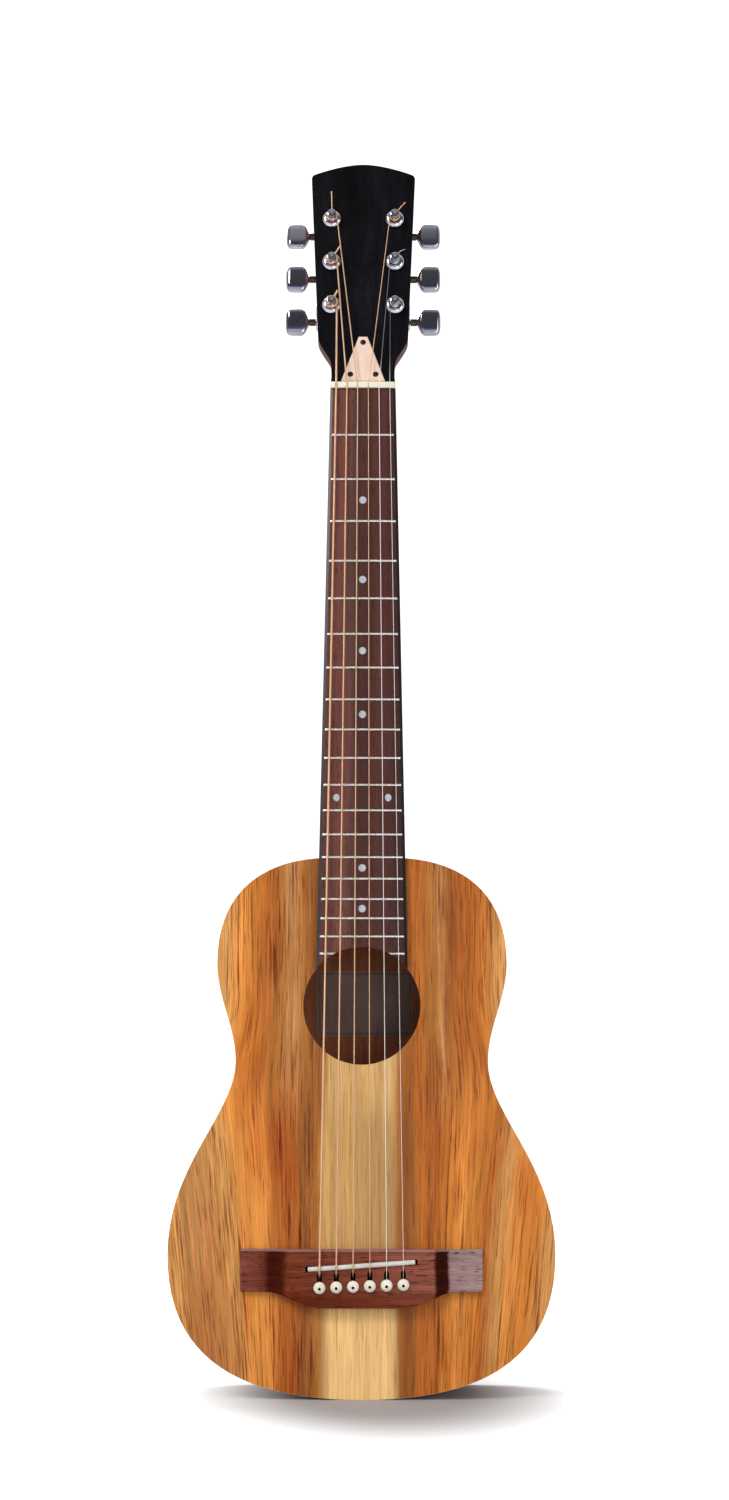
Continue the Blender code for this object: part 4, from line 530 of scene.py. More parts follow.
def bridge_wood():
    """Oiled dark red-brown wood, with a painted highlight along its front edge, where it catches the light."""
    look = Look("bridge_wood", roughness=0.35, Specular_IOR_Level=0.02)
    wander = look.centred(look.noise((60.0, 60.0, 90.0), 3.0, 0.6, (2.0, 1.0, 4.0)), 4.0 * MM)
    share = look.math("ADD", look.axis("X"), wander)
    share = look.math("MULTIPLY_ADD", share, 1.0 / BRIDGE_SPAN, 0.5)
    bands = [(0.5 + place * MM / BRIDGE_SPAN, srgb(*tone)) for place, tone in BRIDGE_BANDS]
    colour = look.ramp(share, bands)
    colour, pores = streaked(look, colour, ALONG_X, ACROSS_YZ, 1.9)
    # Darker and redder on the belly behind the pins: partly the wood's tone, partly painted shade.
    belly = look.smooth(look.axis("Z"), BRIDGE_FRONT_Z - 31.0 * MM, BRIDGE_FRONT_Z - 25.0 * MM, 0.8, 0.0)
    colour = look.darken(colour, belly, srgb(206, 176, 140))
    # Painted highlight: the front edge turns paler.
    edge = look.smooth(look.axis("Z"), BRIDGE_FRONT_Z - 1.7 * MM, BRIDGE_FRONT_Z - 0.7 * MM, 0.0, 0.55)
    look.colour(look.mix(edge, colour, srgb(170, 134, 132)))
    return look.bump(look.math("MULTIPLY", pores, -1.0), 0.04 * MM)


# Tones of the fingerboard from bass to treble, with a painted soft sheen on the bass side, as from the light on
# the left
BOARD_BANDS = (
    (-27, (88, 52, 44)), (-17, (116, 68, 57)), (-12, (118, 70, 60)), (-7, (88, 56, 50)),
    (0, (78, 44, 37)), (12, (86, 44, 37)), (20, (70, 36, 29)), (27, (54, 28, 22)),
)
BOARD_SPAN = 60.0 * MM


def board_wood():
    look = Look("board_wood", roughness=0.5, Specular_IOR_Level=0.2)
    wander = look.centred(look.noise((90.0, 90.0, 9.0), 3.0, 0.6, (2.0, 1.0, 4.0)), 7.0 * MM)
    share = look.math("ADD", look.axis("X"), wander)
    share = look.math("MULTIPLY_ADD", share, 1.0 / BOARD_SPAN, 0.5)
    bands = [(0.5 + place * MM / BOARD_SPAN, srgb(*tone)) for place, tone in BOARD_BANDS]
    colour, pores = streaked(look, look.ramp(share, bands), ALONG_Z, ACROSS_XY, 1.5)
    look.colour(colour)
    return look.bump(look.math("MULTIPLY", pores, -1.0), 0.04 * MM)


def board_edge():
    """The board's dark rolled edges, with a painted grey sheen on the bass side, where they face the light; the
    sheen fades towards the body.
    """
    look = Look("board_edge", roughness=0.35, Specular_IOR_Level=0.1)
    drift = look.noise((200.0, 200.0, 12.0), 4.0, 0.6)
    side = look.math("MULTIPLY_ADD", drift, 6.0 * MM, look.axis("X"))
    treble = look.smooth(side, -6.0 * MM, 6.0 * MM)
    low = look.smooth(look.axis("Z"), BODY_LENGTH, NUT_Z - 40.0 * MM, 0.75, 0.0)
    dark = look.math("MAXIMUM", treble, low)
    # Painted sheen: grey where the edge faces the light, near black elsewhere.
    tone = look.ramp(dark, [(0.0, srgb(124, 120, 123)), (1.0, srgb(30, 26, 25))])
    return look.colour(look.vary(tone, drift, 0.8, 1.1))


def make_looks():
    """Every finish, by the short name that the pieces use."""
    body = {"Coat_Weight": 0.15, "Coat_Roughness": 0.3}
    sides = ((150, 88, 46), (196, 124, 66))
    back = ((148, 84, 42), (202, 128, 66))
    neck = ((92, 56, 44), (128, 84, 66))
    return {
        "top": top_wood(),
        "rim": top_rim(),
        "side": plain_wood("side_wood", sides, ROUND_SIDES, ACROSS_Y, 0.36, **body),
        "back": plain_wood("back_wood", back, ALONG_Z, ACROSS_XY, 0.36, **body),
        "inner": plain_wood("inner_wood", ((148, 84, 48), (178, 106, 64)), ALONG_Z, ACROSS_XY, 0.8),
        "brace": plain_wood("brace_wood", ((190, 156, 108), (214, 184, 136)), ALONG_X, ACROSS_YZ, 0.8),
        "neck": plain_wood(
            "neck_wood", neck, ALONG_Z, ACROSS_XY, 0.45, 1.0, Specular_IOR_Level=0.3
        ),
        "board": board_wood(),
        "edge": board_edge(),
        "bridge": bridge_wood(),
        # Near-black wood for the bridge's slots and holes: painted shade.
        "slot": plain_wood(
            "slot_painted_shade", ((10, 5, 4), (20, 11, 9)), ALONG_X, ACROSS_YZ, 0.8,
            Specular_IOR_Level=0.05,
        ),
        "veneer": plain_wood(
            "black_veneer", ((2, 2, 4), (22, 22, 28)), ALONG_Z, ACROSS_XY, 0.45, 3.0,
            Specular_IOR_Level=0.06,
        ),
        "bone": speckled("bone", (240, 234, 216), (228, 219, 196), 160.0, 0.3),
        "saddle": speckled("saddle_bone", (222, 218, 208), (206, 201, 190), 160.0, 0.32),
        "cover": speckled("cover_plastic", (240, 212, 192), (231, 200, 180), 120.0, 0.4),
        "pearl": speckled("pearl", (200, 206, 212), (168, 176, 186), 900.0, 0.2),
        "paper": speckled("label_paper", (152, 126, 114), (132, 108, 98), 60.0, 0.85),
        "print": speckled("label_border", (128, 104, 100), (112, 92, 88), 60.0, 0.85),
        "dark": speckled(
            "dark_plastic", (16, 13, 12), (8, 7, 7), 500.0, 0.6, Specular_IOR_Level=0.1
        ),
        "chrome": metal("chrome", srgb(210, 208, 218), 0.07, 0.9),
        # A darker copy of the chrome for the buttons: painted shade, for their darker reflections.
        "button": metal("button_chrome", srgb(166, 165, 178), 0.07, 0.9),
        # Dark brown metal for the collars and worm shafts: painted shade, for the dark that the chrome collars
        # mirror.
        "collar": metal("shaded_collar_metal", srgb(80, 68, 58), 0.22, 0.7),
        "steel": metal("steel", srgb(206, 206, 204), 0.22, 0.84),
        "fret": metal("fret_metal", srgb(236, 232, 228), 0.3, 0.95),
        "screw": metal("screw_metal", srgb(64, 54, 50), 0.35, 0.7),
        "bronze": wound_metal("bronze_winding", srgb(248, 210, 172), srgb(202, 152, 114)),
        "bronze_end": wound_metal("bronze_ends", srgb(246, 206, 166), srgb(204, 152, 114)),
        "plain_string": plain_wire(),
        "plain_string_end": metal("plain_string_ends", srgb(200, 200, 204), 0.3, 0.9),
    }


LOOKS = {}

NODE_LOOKS = {
    "soundboard": "top", "back_plate": "back", "side_bass": "side", "side_treble": "side",
    "neck_block": "inner", "tail_block": "inner", "bridge_plate": "inner",
    "top_bracing": "brace", "back_brace_lower": "brace", "back_brace_upper": "brace",
    "bridge": "bridge", "saddle": "saddle", "neck": "neck", "headstock_veneer": "veneer",
    "fingerboard": "board", "nut": "bone", "truss_rod": "steel", "truss_rod_cover": "cover",
}
NUMBERED_LOOKS = {
    "bridge_pin": "bone", "string_post": "chrome", "tuner_bushing": "chrome",
    "tuner_housing": "chrome", "tuner_button": "button", "worm_shaft": "collar",
}


def string_look(number):
    return "plain_string" if number < 3 else "bronze"


def dress_frame():
    looks = dict(NODE_LOOKS)
    for number in range(1, 7):
        looks["string_%d" % number] = string_look(number)
        for stem, look in NUMBERED_LOOKS.items():
            looks["%s_%d" % (stem, number)] = look
    for name, look in looks.items():
        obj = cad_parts[name]
        obj.data.materials.clear()
        obj.data.materials.append(LOOKS[look].material)


def add_piece(name, bm, matrix, looks, body=BODY, nodes=(), pick=None, flat=False):
    """A finished piece that rides on a body and replaces nodes; pick chooses a face's look."""
    bmesh.ops.recalc_face_normals(bm, faces=bm.faces)
    bm.normal_update()
    if pick:
        for face in bm.faces:
            face.material_index = pick(face)
    mesh = bpy.data.meshes.new(name)
    bm.to_mesh(mesh)
    bm.free()
    mesh.transform(matrix)
    mesh.shade_smooth()
    mesh.set_sharp_from_angle(angle=math.radians(38.0))
    for look in looks.split():
        mesh.materials.append(LOOKS[look].material)
    obj = bpy.data.objects.new(name, mesh)
    bpy.context.scene.collection.objects.link(obj)
    if flat:
        modifier = obj.modifiers.new("normals", "WEIGHTED_NORMAL")
        modifier.keep_sharp = True
    if body:
        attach(obj, body)
    if nodes:
        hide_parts(*nodes)
    return obj


def held(bm):
    """A temporary object that holds a bmesh for a modifier."""
    mesh = bpy.data.meshes.new("held")
    bmesh.ops.recalc_face_normals(bm, faces=bm.faces)
    bm.to_mesh(mesh)
    bm.free()
    obj = bpy.data.objects.new("held", mesh)
    bpy.context.scene.collection.objects.link(obj)
    return obj


def taken(obj):
    """The bmesh that an object evaluates to; the object is removed."""
    bpy.context.view_layer.update()
    evaluated = obj.evaluated_get(bpy.context.evaluated_depsgraph_get())
    mesh = bpy.data.meshes.new_from_object(evaluated)
    bm = bmesh.new()
    bm.from_mesh(mesh)
    bpy.data.objects.remove(obj, do_unlink=True)
    bpy.data.meshes.remove(mesh)
    return bm


def combine(bm, others, operation):
    """Cuts bmeshes out of another, joins them to it or keeps what they share."""
    holder = held(bm)
    tools = [held(other) for other in others]
    for tool in tools:
        modifier = holder.modifiers.new("cut", "BOOLEAN")
        modifier.object = tool
        modifier.operation = operation
        modifier.solver = "EXACT"
    made = taken(holder)
    for tool in tools:
        bpy.data.objects.remove(tool, do_unlink=True)
    return made


def plate(outlines, low, high):
    """A flat piece between two heights: its rim, then the outlines of its holes."""
    curve = bpy.data.curves.new("plate", "CURVE")
    curve.dimensions = "2D"
    curve.fill_mode = "BOTH"
    curve.extrude = (high - low) / 2.0
    for outline in outlines:
        spline = curve.splines.new("POLY")
        spline.points.add(len(outline) - 1)
        for point, (x, y) in zip(spline.points, outline):
            point.co = (x, y, 0.0, 1.0)
        spline.use_cyclic_u = True
    holder = bpy.data.objects.new("plate", curve)
    bpy.context.scene.collection.objects.link(holder)
    bm = taken(holder)
    bmesh.ops.remove_doubles(bm, verts=bm.verts, dist=1e-6)
    bmesh.ops.dissolve_limit(
        bm, angle_limit=math.radians(0.2), verts=bm.verts, edges=bm.edges,
        use_dissolve_boundaries=False,
    )
    bmesh.ops.translate(bm, vec=(0.0, 0.0, (high + low) / 2.0), verts=bm.verts)
    return bm


def round_edges(bm, width, chosen, segments=3, angle=50.0):
    """Rounds the sharp convex edges that the chooser takes."""
    bmesh.ops.recalc_face_normals(bm, faces=bm.faces)
    bm.normal_update()
    edges = [
        edge for edge in bm.edges
        if len(edge.link_faces) == 2
        and edge.calc_face_angle_signed() > math.radians(angle)
        and chosen(edge.verts[0].co) and chosen(edge.verts[1].co)
    ]
    bmesh.ops.bevel(
        bm, geom=edges, offset=width, segments=segments, profile=0.5, affect="EDGES",
        clamp_overlap=True,
    )
    return bm


def block(low, high):
    bm = bmesh.new()
    bmesh.ops.create_cube(bm, size=1.0)
    size = [top - bottom for top, bottom in zip(high, low)]
    bmesh.ops.scale(bm, vec=size, verts=bm.verts)
    middle = [(top + bottom) / 2.0 for top, bottom in zip(high, low)]
    bmesh.ops.translate(bm, vec=middle, verts=bm.verts)
    return bm


def moved(bm, matrix):
    bmesh.ops.transform(bm, matrix=matrix, verts=bm.verts)
    return bm


def trim(bm, point, normal):
    """Cuts away what lies on the normal's side of a plane and closes the cut."""
    bmesh.ops.bisect_plane(
        bm, geom=bm.verts[:] + bm.edges[:] + bm.faces[:], dist=1e-7, plane_co=point,
        plane_no=normal, clear_outer=True,
    )
    open_edges = [edge for edge in bm.edges if edge.is_boundary]
    bmesh.ops.edgenet_fill(bm, edges=open_edges)
    return bm


def lathe(profile, steps):
    """A turned bmesh: the profile's (radius, height) points run from end to end."""
    bm = bmesh.new()
    rings = []
    for radius, height in profile:
        if radius < 1e-7:
            rings.append([bm.verts.new((0.0, 0.0, height))])
            continue
        ring = []
        for step in range(steps):
            angle = 2.0 * math.pi * step / steps
            ring.append(bm.verts.new((radius * math.cos(angle), radius * math.sin(angle), height)))
        rings.append(ring)
    for lower, upper in zip(rings, rings[1:]):
        for step in range(steps):
            following = (step + 1) % steps
            corners = [lower[step % len(lower)], lower[following % len(lower)]]
            corners += [upper[following % len(upper)], upper[step % len(upper)]]
            corners = list(dict.fromkeys(corners))
            if len(corners) > 2:
                bm.faces.new(corners)
    return bm


def skin(rings, closed=False, folded=False):
    """A bmesh skinned through rings of equal point counts, capped at its ends.

    A folded cap joins each point to the one opposite, so that a curved end stays clean.
    """
    bm = bmesh.new()
    rows = [[bm.verts.new(point) for point in ring] for ring in rings]
    count = len(rows[0])
    following_rows = rows[1:] + rows[:1] if closed else rows[1:]
    for lower, upper in zip(rows, following_rows):
        for index in range(count):
            following = (index + 1) % count
            bm.faces.new((lower[index], lower[following], upper[following], upper[index]))
    if folded:
        for row in (rows[0], rows[-1]):
            for index in range(count // 2 - 1):
                bm.faces.new((row[index], row[index + 1], row[-index - 2], row[-index - 1]))
    elif not closed:
        bm.faces.new(list(reversed(rows[0])))
        bm.faces.new(rows[-1])
    return bm


def wire(points, radius, swell=None):
    """A round wire's bmesh through the points; swell scales its radius at each of them."""
    rings = []
    side = None
    for index, point in enumerate(points):
        before = points[max(index - 1, 0)]
        after = points[min(index + 1, len(points) - 1)]
        along = (Vector(after) - Vector(before)).normalized()
        if side is None:
            side = along.orthogonal().normalized()
        side = (side - along * side.dot(along)).normalized()
        other = along.cross(side)
        reach = radius * (swell[index] if swell else 1.0)
        ring = []
        for step in range(WIRE_SIDES):
            angle = 2.0 * math.pi * step / WIRE_SIDES
            ring.append(Vector(point) + (side * math.cos(angle) + other * math.sin(angle)) * reach)
        rings.append(ring)
    return skin(rings)


def bezier(start, start_handle, end_handle, end, steps):
    """Points along one curve, without its last."""
    corners = [Vector((*place, 0.0)) for place in (start, start_handle, end_handle, end)]
    return [(point.x, point.y) for point in interpolate_bezier(*corners, steps + 1)[:-1]]


def circle(x, y, radius, steps):
    turn = 2.0 * math.pi / steps
    return [
        (x + radius * math.cos(step * turn), y + radius * math.sin(step * turn))
        for step in range(steps)
    ]


def half_outline():
    """The body's right half, from the middle of the tail to the middle of the shoulder."""
    lower = (LOWER_BOUT_HALF, LOWER_BOUT_Z)
    waist = (WAIST_HALF, WAIST_Z)
    upper = (UPPER_BOUT_HALF, UPPER_BOUT_Z)
    shoulder = (SHOULDER_FLAT_HALF, BODY_LENGTH)
    points = bezier(
        (0.0, 0.0), (TAIL_HANDLE, 0.0), (lower[0], lower[1] - LOWER_BOUT_HANDLES[0]), lower,
        OUTLINE_STEPS[0],
    )
    points += bezier(
        lower, (lower[0], lower[1] + LOWER_BOUT_HANDLES[1]),
        (waist[0], waist[1] - WAIST_HANDLES[0]), waist, OUTLINE_STEPS[1],
    )
    points += bezier(
        waist, (waist[0], waist[1] + WAIST_HANDLES[1]),
        (upper[0], upper[1] - UPPER_BOUT_HANDLES[0]), upper, OUTLINE_STEPS[2],
    )
    points += bezier(
        upper, (upper[0], upper[1] + UPPER_BOUT_HANDLES[1]),
        (shoulder[0] + SHOULDER_HANDLE, shoulder[1]), shoulder, OUTLINE_STEPS[3],
    )
    return points + [shoulder, (0.0, BODY_LENGTH)]


def mirrored(right):
    """A closed outline from its right half, which starts and ends on the centre line."""
    return right + [(-x, z) for x, z in reversed(right[1:-1])]


def inset_half(distance):
    """The half outline moved inwards by a distance."""
    points = half_outline()
    inside = []
    for index, (x, z) in enumerate(points):
        before = points[max(index - 1, 0)]
        after = points[min(index + 1, len(points) - 1)]
        along = Vector((after[0] - before[0], after[1] - before[1])).normalized()
        if index in (0, len(points) - 1):
            along = Vector((1.0, 0.0)) if index == 0 else Vector((-1.0, 0.0))
        inside.append((x - along.y * distance, z + along.x * distance))
    return inside


def across(spread, index):
    return -spread / 2.0 + spread * index / 5.0


def crown_drop(x):
    return x * x / (2.0 * BOARD_RADIUS)


def fret_distance(number):
    return SCALE_LENGTH * (1.0 - 2.0 ** (-number / 12.0))


def board_half(z):
    widening = (WIDTH_AT_12TH - NUT_WIDTH) / fret_distance(12)
    return (NUT_WIDTH + widening * (NUT_Z - z)) / 2.0


def pin_place(index):
    bass = BRIDGE_FRONT_Z - PIN_FROM_FRONT_BASS
    treble = BRIDGE_FRONT_Z - PIN_FROM_FRONT_TREBLE
    return across(SADDLE_SPREAD, index), bass + (treble - bass) * index / 5.0


def saddle_z(x):
    share = 0.5 + x / SADDLE_SPREAD
    end = NUT_Z - SCALE_LENGTH
    return end - COMPENSATION_BASS + (COMPENSATION_BASS - COMPENSATION_TREBLE) * share


def saddle_frame():
    """A frame along the slanted saddle: x along it, y out of the face, z across it."""
    slant = math.atan2(COMPENSATION_BASS - COMPENSATION_TREBLE, SADDLE_SPREAD)
    upright = Matrix(((1, 0, 0, 0), (0, 0, -1, 0), (0, 1, 0, 0), (0, 0, 0, 1)))
    place = Matrix.Translation((0.0, saddle_z(0.0), 0.0)) @ Matrix.Rotation(slant, 4, "Z")
    return FACE_FRAME @ place @ upright


def by_height(face):
    """0 for a face that looks out of the front, 2 for one that looks back, 1 for the rest."""
    if face.normal.z > 0.99:
        return 0
    return 2 if face.normal.z < -0.99 else 1


def make_soundboard():
    holes = [circle(0.0, SOUNDHOLE_Z, SOUNDHOLE_RADIUS, SOUNDHOLE_STEPS)]
    holes += [circle(*pin_place(index), PIN_RADIUS + GAP, 24) for index in range(6)]
    bm = plate([mirrored(half_outline())] + holes, -PLATE_THICKNESS, 0.0)
    far = LOWER_BOUT_Z - 30.0 * MM
    round_edges(
        bm, PLATE_EDGE_ROUND,
        lambda place: place.z > -MM and (abs(place.x) > 40.0 * MM or not far > place.y > 12.0 * MM),
    )
    add_piece(
        "soundboard_smooth", bm, FACE_FRAME, "top rim inner", nodes=["soundboard"],
        pick=by_height, flat=True,
    )


def make_back_plate():
    bm = plate([mirrored(half_outline())], -PLATE_THICKNESS, 0.0)
    round_edges(bm, PLATE_EDGE_ROUND, lambda place: place.z < -MM)
    shear = Matrix.Identity(4)
    shear[2][1] = (BODY_DEPTH_TAIL - BODY_DEPTH_HEEL) / BODY_LENGTH
    shear[2][3] = -BODY_DEPTH_TAIL + PLATE_THICKNESS
    add_piece(
        "back_smooth", bm, FACE_FRAME @ shear, "inner rim back", nodes=["back_plate"],
        pick=by_height, flat=True,
    )


def side_ring(outer, wall, inner):
    """One section of a side with its two linings, from the outline and two inset outlines."""
    front = -(PLATE_THICKNESS + GAP)
    slope = (BODY_DEPTH_TAIL - BODY_DEPTH_HEEL) / BODY_LENGTH

    def back(place, rise):
        depth = BODY_DEPTH_TAIL - slope * place[1]
        return (place[0], place[1], rise - depth + PLATE_THICKNESS + GAP)

    edge = LINING_HEIGHT / 3.0
    return [
        (*outer, front), (*inner, front), (*inner, front - edge), (*wall, front - LINING_HEIGHT),
        back(wall, LINING_HEIGHT), back(inner, edge), back(inner, 0.0), back(outer, 0.0),
    ]


def make_side(name, side):
    rings = []
    walls = inset_half(SIDE_THICKNESS)
    inners = inset_half(SIDE_THICKNESS + LINING_WIDTH)
    for outer, wall, inner in zip(half_outline(), walls, inners):
        # The linings stop at the blocks at both ends.
        if outer[0] < 34.0 * MM:
            inner = (wall[0] + 1e-5, wall[1])
        placed = [(side * max(x, GAP / 2.0), z) for x, z in (outer, wall, inner)]
        rings.append(side_ring(*placed))
    add_piece(name + "_smooth", skin(rings), FACE_FRAME, "side", nodes=[name])


def neck_section(z, half):
    """A flat-topped D that narrows to a keel towards the heel."""
    share = (NUT_Z - z) / (NUT_Z - BODY_LENGTH)
    depth = NECK_DEPTH_NUT + (NECK_DEPTH_HEEL - NECK_DEPTH_NUT) * share
    into_heel = max(0.0, 1.0 - (z - BODY_LENGTH) / HEEL_LENGTH)
    depth += (HEEL_DEPTH - depth) * into_heel ** 2.4
    power = NECK_ROUNDNESS + (HEEL_ROUNDNESS - NECK_ROUNDNESS) * min(1.0, into_heel * 1.4)
    ring = []
    steps = 36
    for step in range(steps + 1):
        cosine = math.cos(math.pi * step / steps)
        sine = max(0.0, math.sin(math.pi * step / steps))
        reach = math.copysign(abs(cosine) ** (2.0 / power), cosine)
        ring.append((half * reach, z, -depth * sine ** (2.0 / power)))
    return ring


def head_outline():
    """The headstock: narrow at the nut, round shoulders, straight flared sides, crowned end."""
    corner = (HEAD_TOP_HALF, HEAD_CORNER_D)
    crown_end = (corner[0] - HEAD_CORNER_ROUND, corner[1] + HEAD_CORNER_RISE)
    right = [(0.0, 0.0), (HEAD_HALF_AT_NUT, 0.0)]
    right += bezier(
        (HEAD_HALF_AT_NUT + 0.2 * MM, HEAD_WAIST_D),
        (HEAD_HALF_AT_NUT + 0.6 * MM, HEAD_WAIST_D + 7.5 * MM),
        (HEAD_SHOULDER_HALF - 0.7 * MM, HEAD_SHOULDER_D - 7.0 * MM),
        (HEAD_SHOULDER_HALF, HEAD_SHOULDER_D), 18,
    )
    right += [(HEAD_SHOULDER_HALF, HEAD_SHOULDER_D)]
    right += bezier(
        (corner[0] - 0.2 * MM, corner[1] - HEAD_CORNER_ROUND),
        (corner[0] + 0.1 * MM, corner[1] - MM),
        (corner[0] - MM, crown_end[1] - 0.3 * MM), crown_end, 8,
    )
    right += bezier(
        crown_end, (HEAD_CROWN_HANDLES[0], HEAD_LENGTH - HEAD_CROWN_DROP),
        (HEAD_CROWN_HANDLES[1], HEAD_LENGTH), (0.0, HEAD_LENGTH), 16,
    )
    return mirrored(right + [(0.0, HEAD_LENGTH)])


def sleeve_holes():
    return [
        circle(side * POST_X, d, SLEEVE_RADIUS + GAP, 36) for side in (-1, 1) for d in POST_D
    ]


def head_room():
    """The space that the headstock may fill: round like the neck at the nut, then wide open."""
    rings = []
    for d, half, depth in (
        (-1.0, 21.2, 12.6), (7.0, 21.8, 13.0), (15.0, 24.5, 14.5), (22.0, 30.0, 19.0),
        (30.0, 50.0, 40.0), (170.0, 50.0, 40.0),
    ):
        ring = []
        for step in range(33):
            cosine = math.cos(math.pi * step / 32)
            sine = max(0.0, math.sin(math.pi * step / 32))
            reach = math.copysign(abs(cosine) ** 0.8, cosine)
            ring.append((half * MM * reach, d * MM, 0.5 * MM - depth * MM * sine ** 0.8))
        rings.append(ring)
    return skin(rings)


def make_neck():
    shares = [(step / 14.0) ** 1.5 for step in range(15)]
    levels = [BODY_LENGTH + GAP + share * HEEL_LENGTH for share in shares]
    levels += [NUT_Z, HEAD_ROOT_Z]
    rings = [neck_section(z, board_half(min(z, NUT_Z))) for z in levels]
    rings.append(neck_section(HEAD_ROOT_Z + 24.0 * MM, HEAD_HALF_AT_NUT - 3.0 * MM))
    shaft = moved(skin(rings), FACE_FRAME)
    cap = -(BODY_DEPTH_HEEL - HEEL_CAP_INSET)
    trim(shaft, FACE_FRAME @ Vector((0.0, 0.0, cap)), (0.0, 1.0, 0.0))
    out = HEAD_FRAME.to_3x3() @ Vector((0.0, 0.0, 1.0))
    trim(shaft, HEAD_FRAME @ Vector((0.0, 0.0, -0.02 * MM)), out)
    head = plate([head_outline()] + sleeve_holes(), -HEAD_THICKNESS, 0.0)
    round_edges(head, 0.8 * MM, lambda place: place.z < -MM and place.y > 20.0 * MM)
    head = moved(combine(head, [head_room()], "INTERSECT"), HEAD_FRAME)
    half = ROD_WIDTH / 2.0 + GAP
    floor = -(ROD_DEPTH + 2.0 * GAP)
    channel = block((-half, BODY_LENGTH + 7.7 * MM, floor), (half, HEAD_ROOT_Z + 2.0 * MM, MM))
    cavity = block(
        (-CAVITY_HALF, HEAD_ROOT_Z + MM, floor), (CAVITY_HALF, HEAD_ROOT_Z + CAVITY_LENGTH, 2.0 * MM)
    )
    tenon = block((-9.0 * MM, BODY_LENGTH - 14.0 * MM, -56.0 * MM), (9.0 * MM, BODY_LENGTH + 4.0 * MM, -3.1 * MM))
    bm = combine(shaft, [head, moved(tenon, FACE_FRAME)], "UNION")
    bm = combine(bm, [moved(channel, FACE_FRAME), moved(cavity, FACE_FRAME)], "DIFFERENCE")
    add_piece("neck_smooth", bm, Matrix(), "neck", nodes=["neck"], flat=True)


def make_headstock_veneer():
    cavity = [
        (-CAVITY_HALF, 1.5 * MM), (CAVITY_HALF, 1.5 * MM), (CAVITY_HALF, CAVITY_LENGTH),
        (-CAVITY_HALF, CAVITY_LENGTH),
    ]
    bm = plate([head_outline(), cavity] + sleeve_holes(), GAP, VENEER_FACE)
    round_edges(
        bm, 0.35 * MM, lambda place: place.z > VENEER_FACE - 0.1 * MM and abs(place.x) > 19.0 * MM, 2
    )
    add_piece("veneer_smooth", bm, HEAD_FRAME, "veneer", nodes=["headstock_veneer"], flat=True)


def make_cover():
    outline = [
        (-COVER_BASE_HALF, GAP), (COVER_BASE_HALF, GAP), (COVER_TOP_HALF, COVER_LENGTH),
        (-COVER_TOP_HALF, COVER_LENGTH),
    ]
    low = VENEER_FACE + GAP
    top = low + COVER_THICKNESS
    holes = [circle(x, d, 1.2 * MM, 16) for x, d in COVER_SCREWS]
    bm = plate([outline] + holes, low, top)
    round_edges(
        bm, 0.4 * MM,
        lambda place: place.z > top - 0.1 * MM
        and min(math.hypot(place.x - x, place.y - d) for x, d in COVER_SCREWS) > 1.3 * MM,
        2,
    )
    add_piece("cover_smooth", bm, HEAD_FRAME, "cover", nodes=["truss_rod_cover"], flat=True)
    for number, (x, d) in enumerate(COVER_SCREWS, start=1):
        radius = COVER_SCREW_RADIUS
        profile = [
            (0.0, 0.75 * MM), (radius * 0.5, 0.7 * MM), (radius * 0.85, 0.45 * MM),
            (radius, 0.05 * MM), (radius, 0.0), (1.0 * MM, 0.0), (1.0 * MM, -2.0 * MM),
            (0.0, -2.0 * MM),
        ]
        head = lathe(profile, 28)
        cross = [
            block((-1.1 * MM, -0.17 * MM, 0.35 * MM), (1.1 * MM, 0.17 * MM, 2.0 * MM)),
            block((-0.17 * MM, -1.1 * MM, 0.35 * MM), (0.17 * MM, 1.1 * MM, 2.0 * MM)),
        ]
        head = combine(head, cross, "DIFFERENCE")
        place = HEAD_FRAME @ Matrix.Translation((x, d, top))
        add_piece("cover_screw_%d" % number, head, place, "screw")


def roll_width(z):
    """Width of the board's rolled edge, which grows from the nut to the soundhole."""
    share = (NUT_Z - z) / (NUT_Z - SOUNDHOLE_Z - SOUNDHOLE_RADIUS)
    return BOARD_ROLL_AT_NUT + (BOARD_ROLL_AT_HOLE - BOARD_ROLL_AT_NUT) * share


def board_section(z):
    """The fingerboard's section as (x, h): a slightly rounded face with rolled edges."""
    half = board_half(z)
    roll = roll_width(z)
    face = half - roll
    points = []
    edge_top = BOARD_THICKNESS - crown_drop(face)
    rolled = []
    for step in range(7):
        angle = math.pi / 2.0 * step / 6.0
        rolled.append((face + roll * math.cos(angle), edge_top - roll * (1.0 - math.sin(angle))))
    points += rolled
    steps = 12
    for step in range(1, steps):
        x = face - 2.0 * face * step / steps
        points.append((x, BOARD_THICKNESS - crown_drop(x)))
    points += [(-x, h) for x, h in reversed(rolled)]
    return points + [(x, GAP) for x, h in reversed(points)]


def board_end(x):
    """Where the fingerboard ends at the soundhole's edge."""
    return SOUNDHOLE_Z + math.sqrt(SOUNDHOLE_RADIUS ** 2 - x * x)


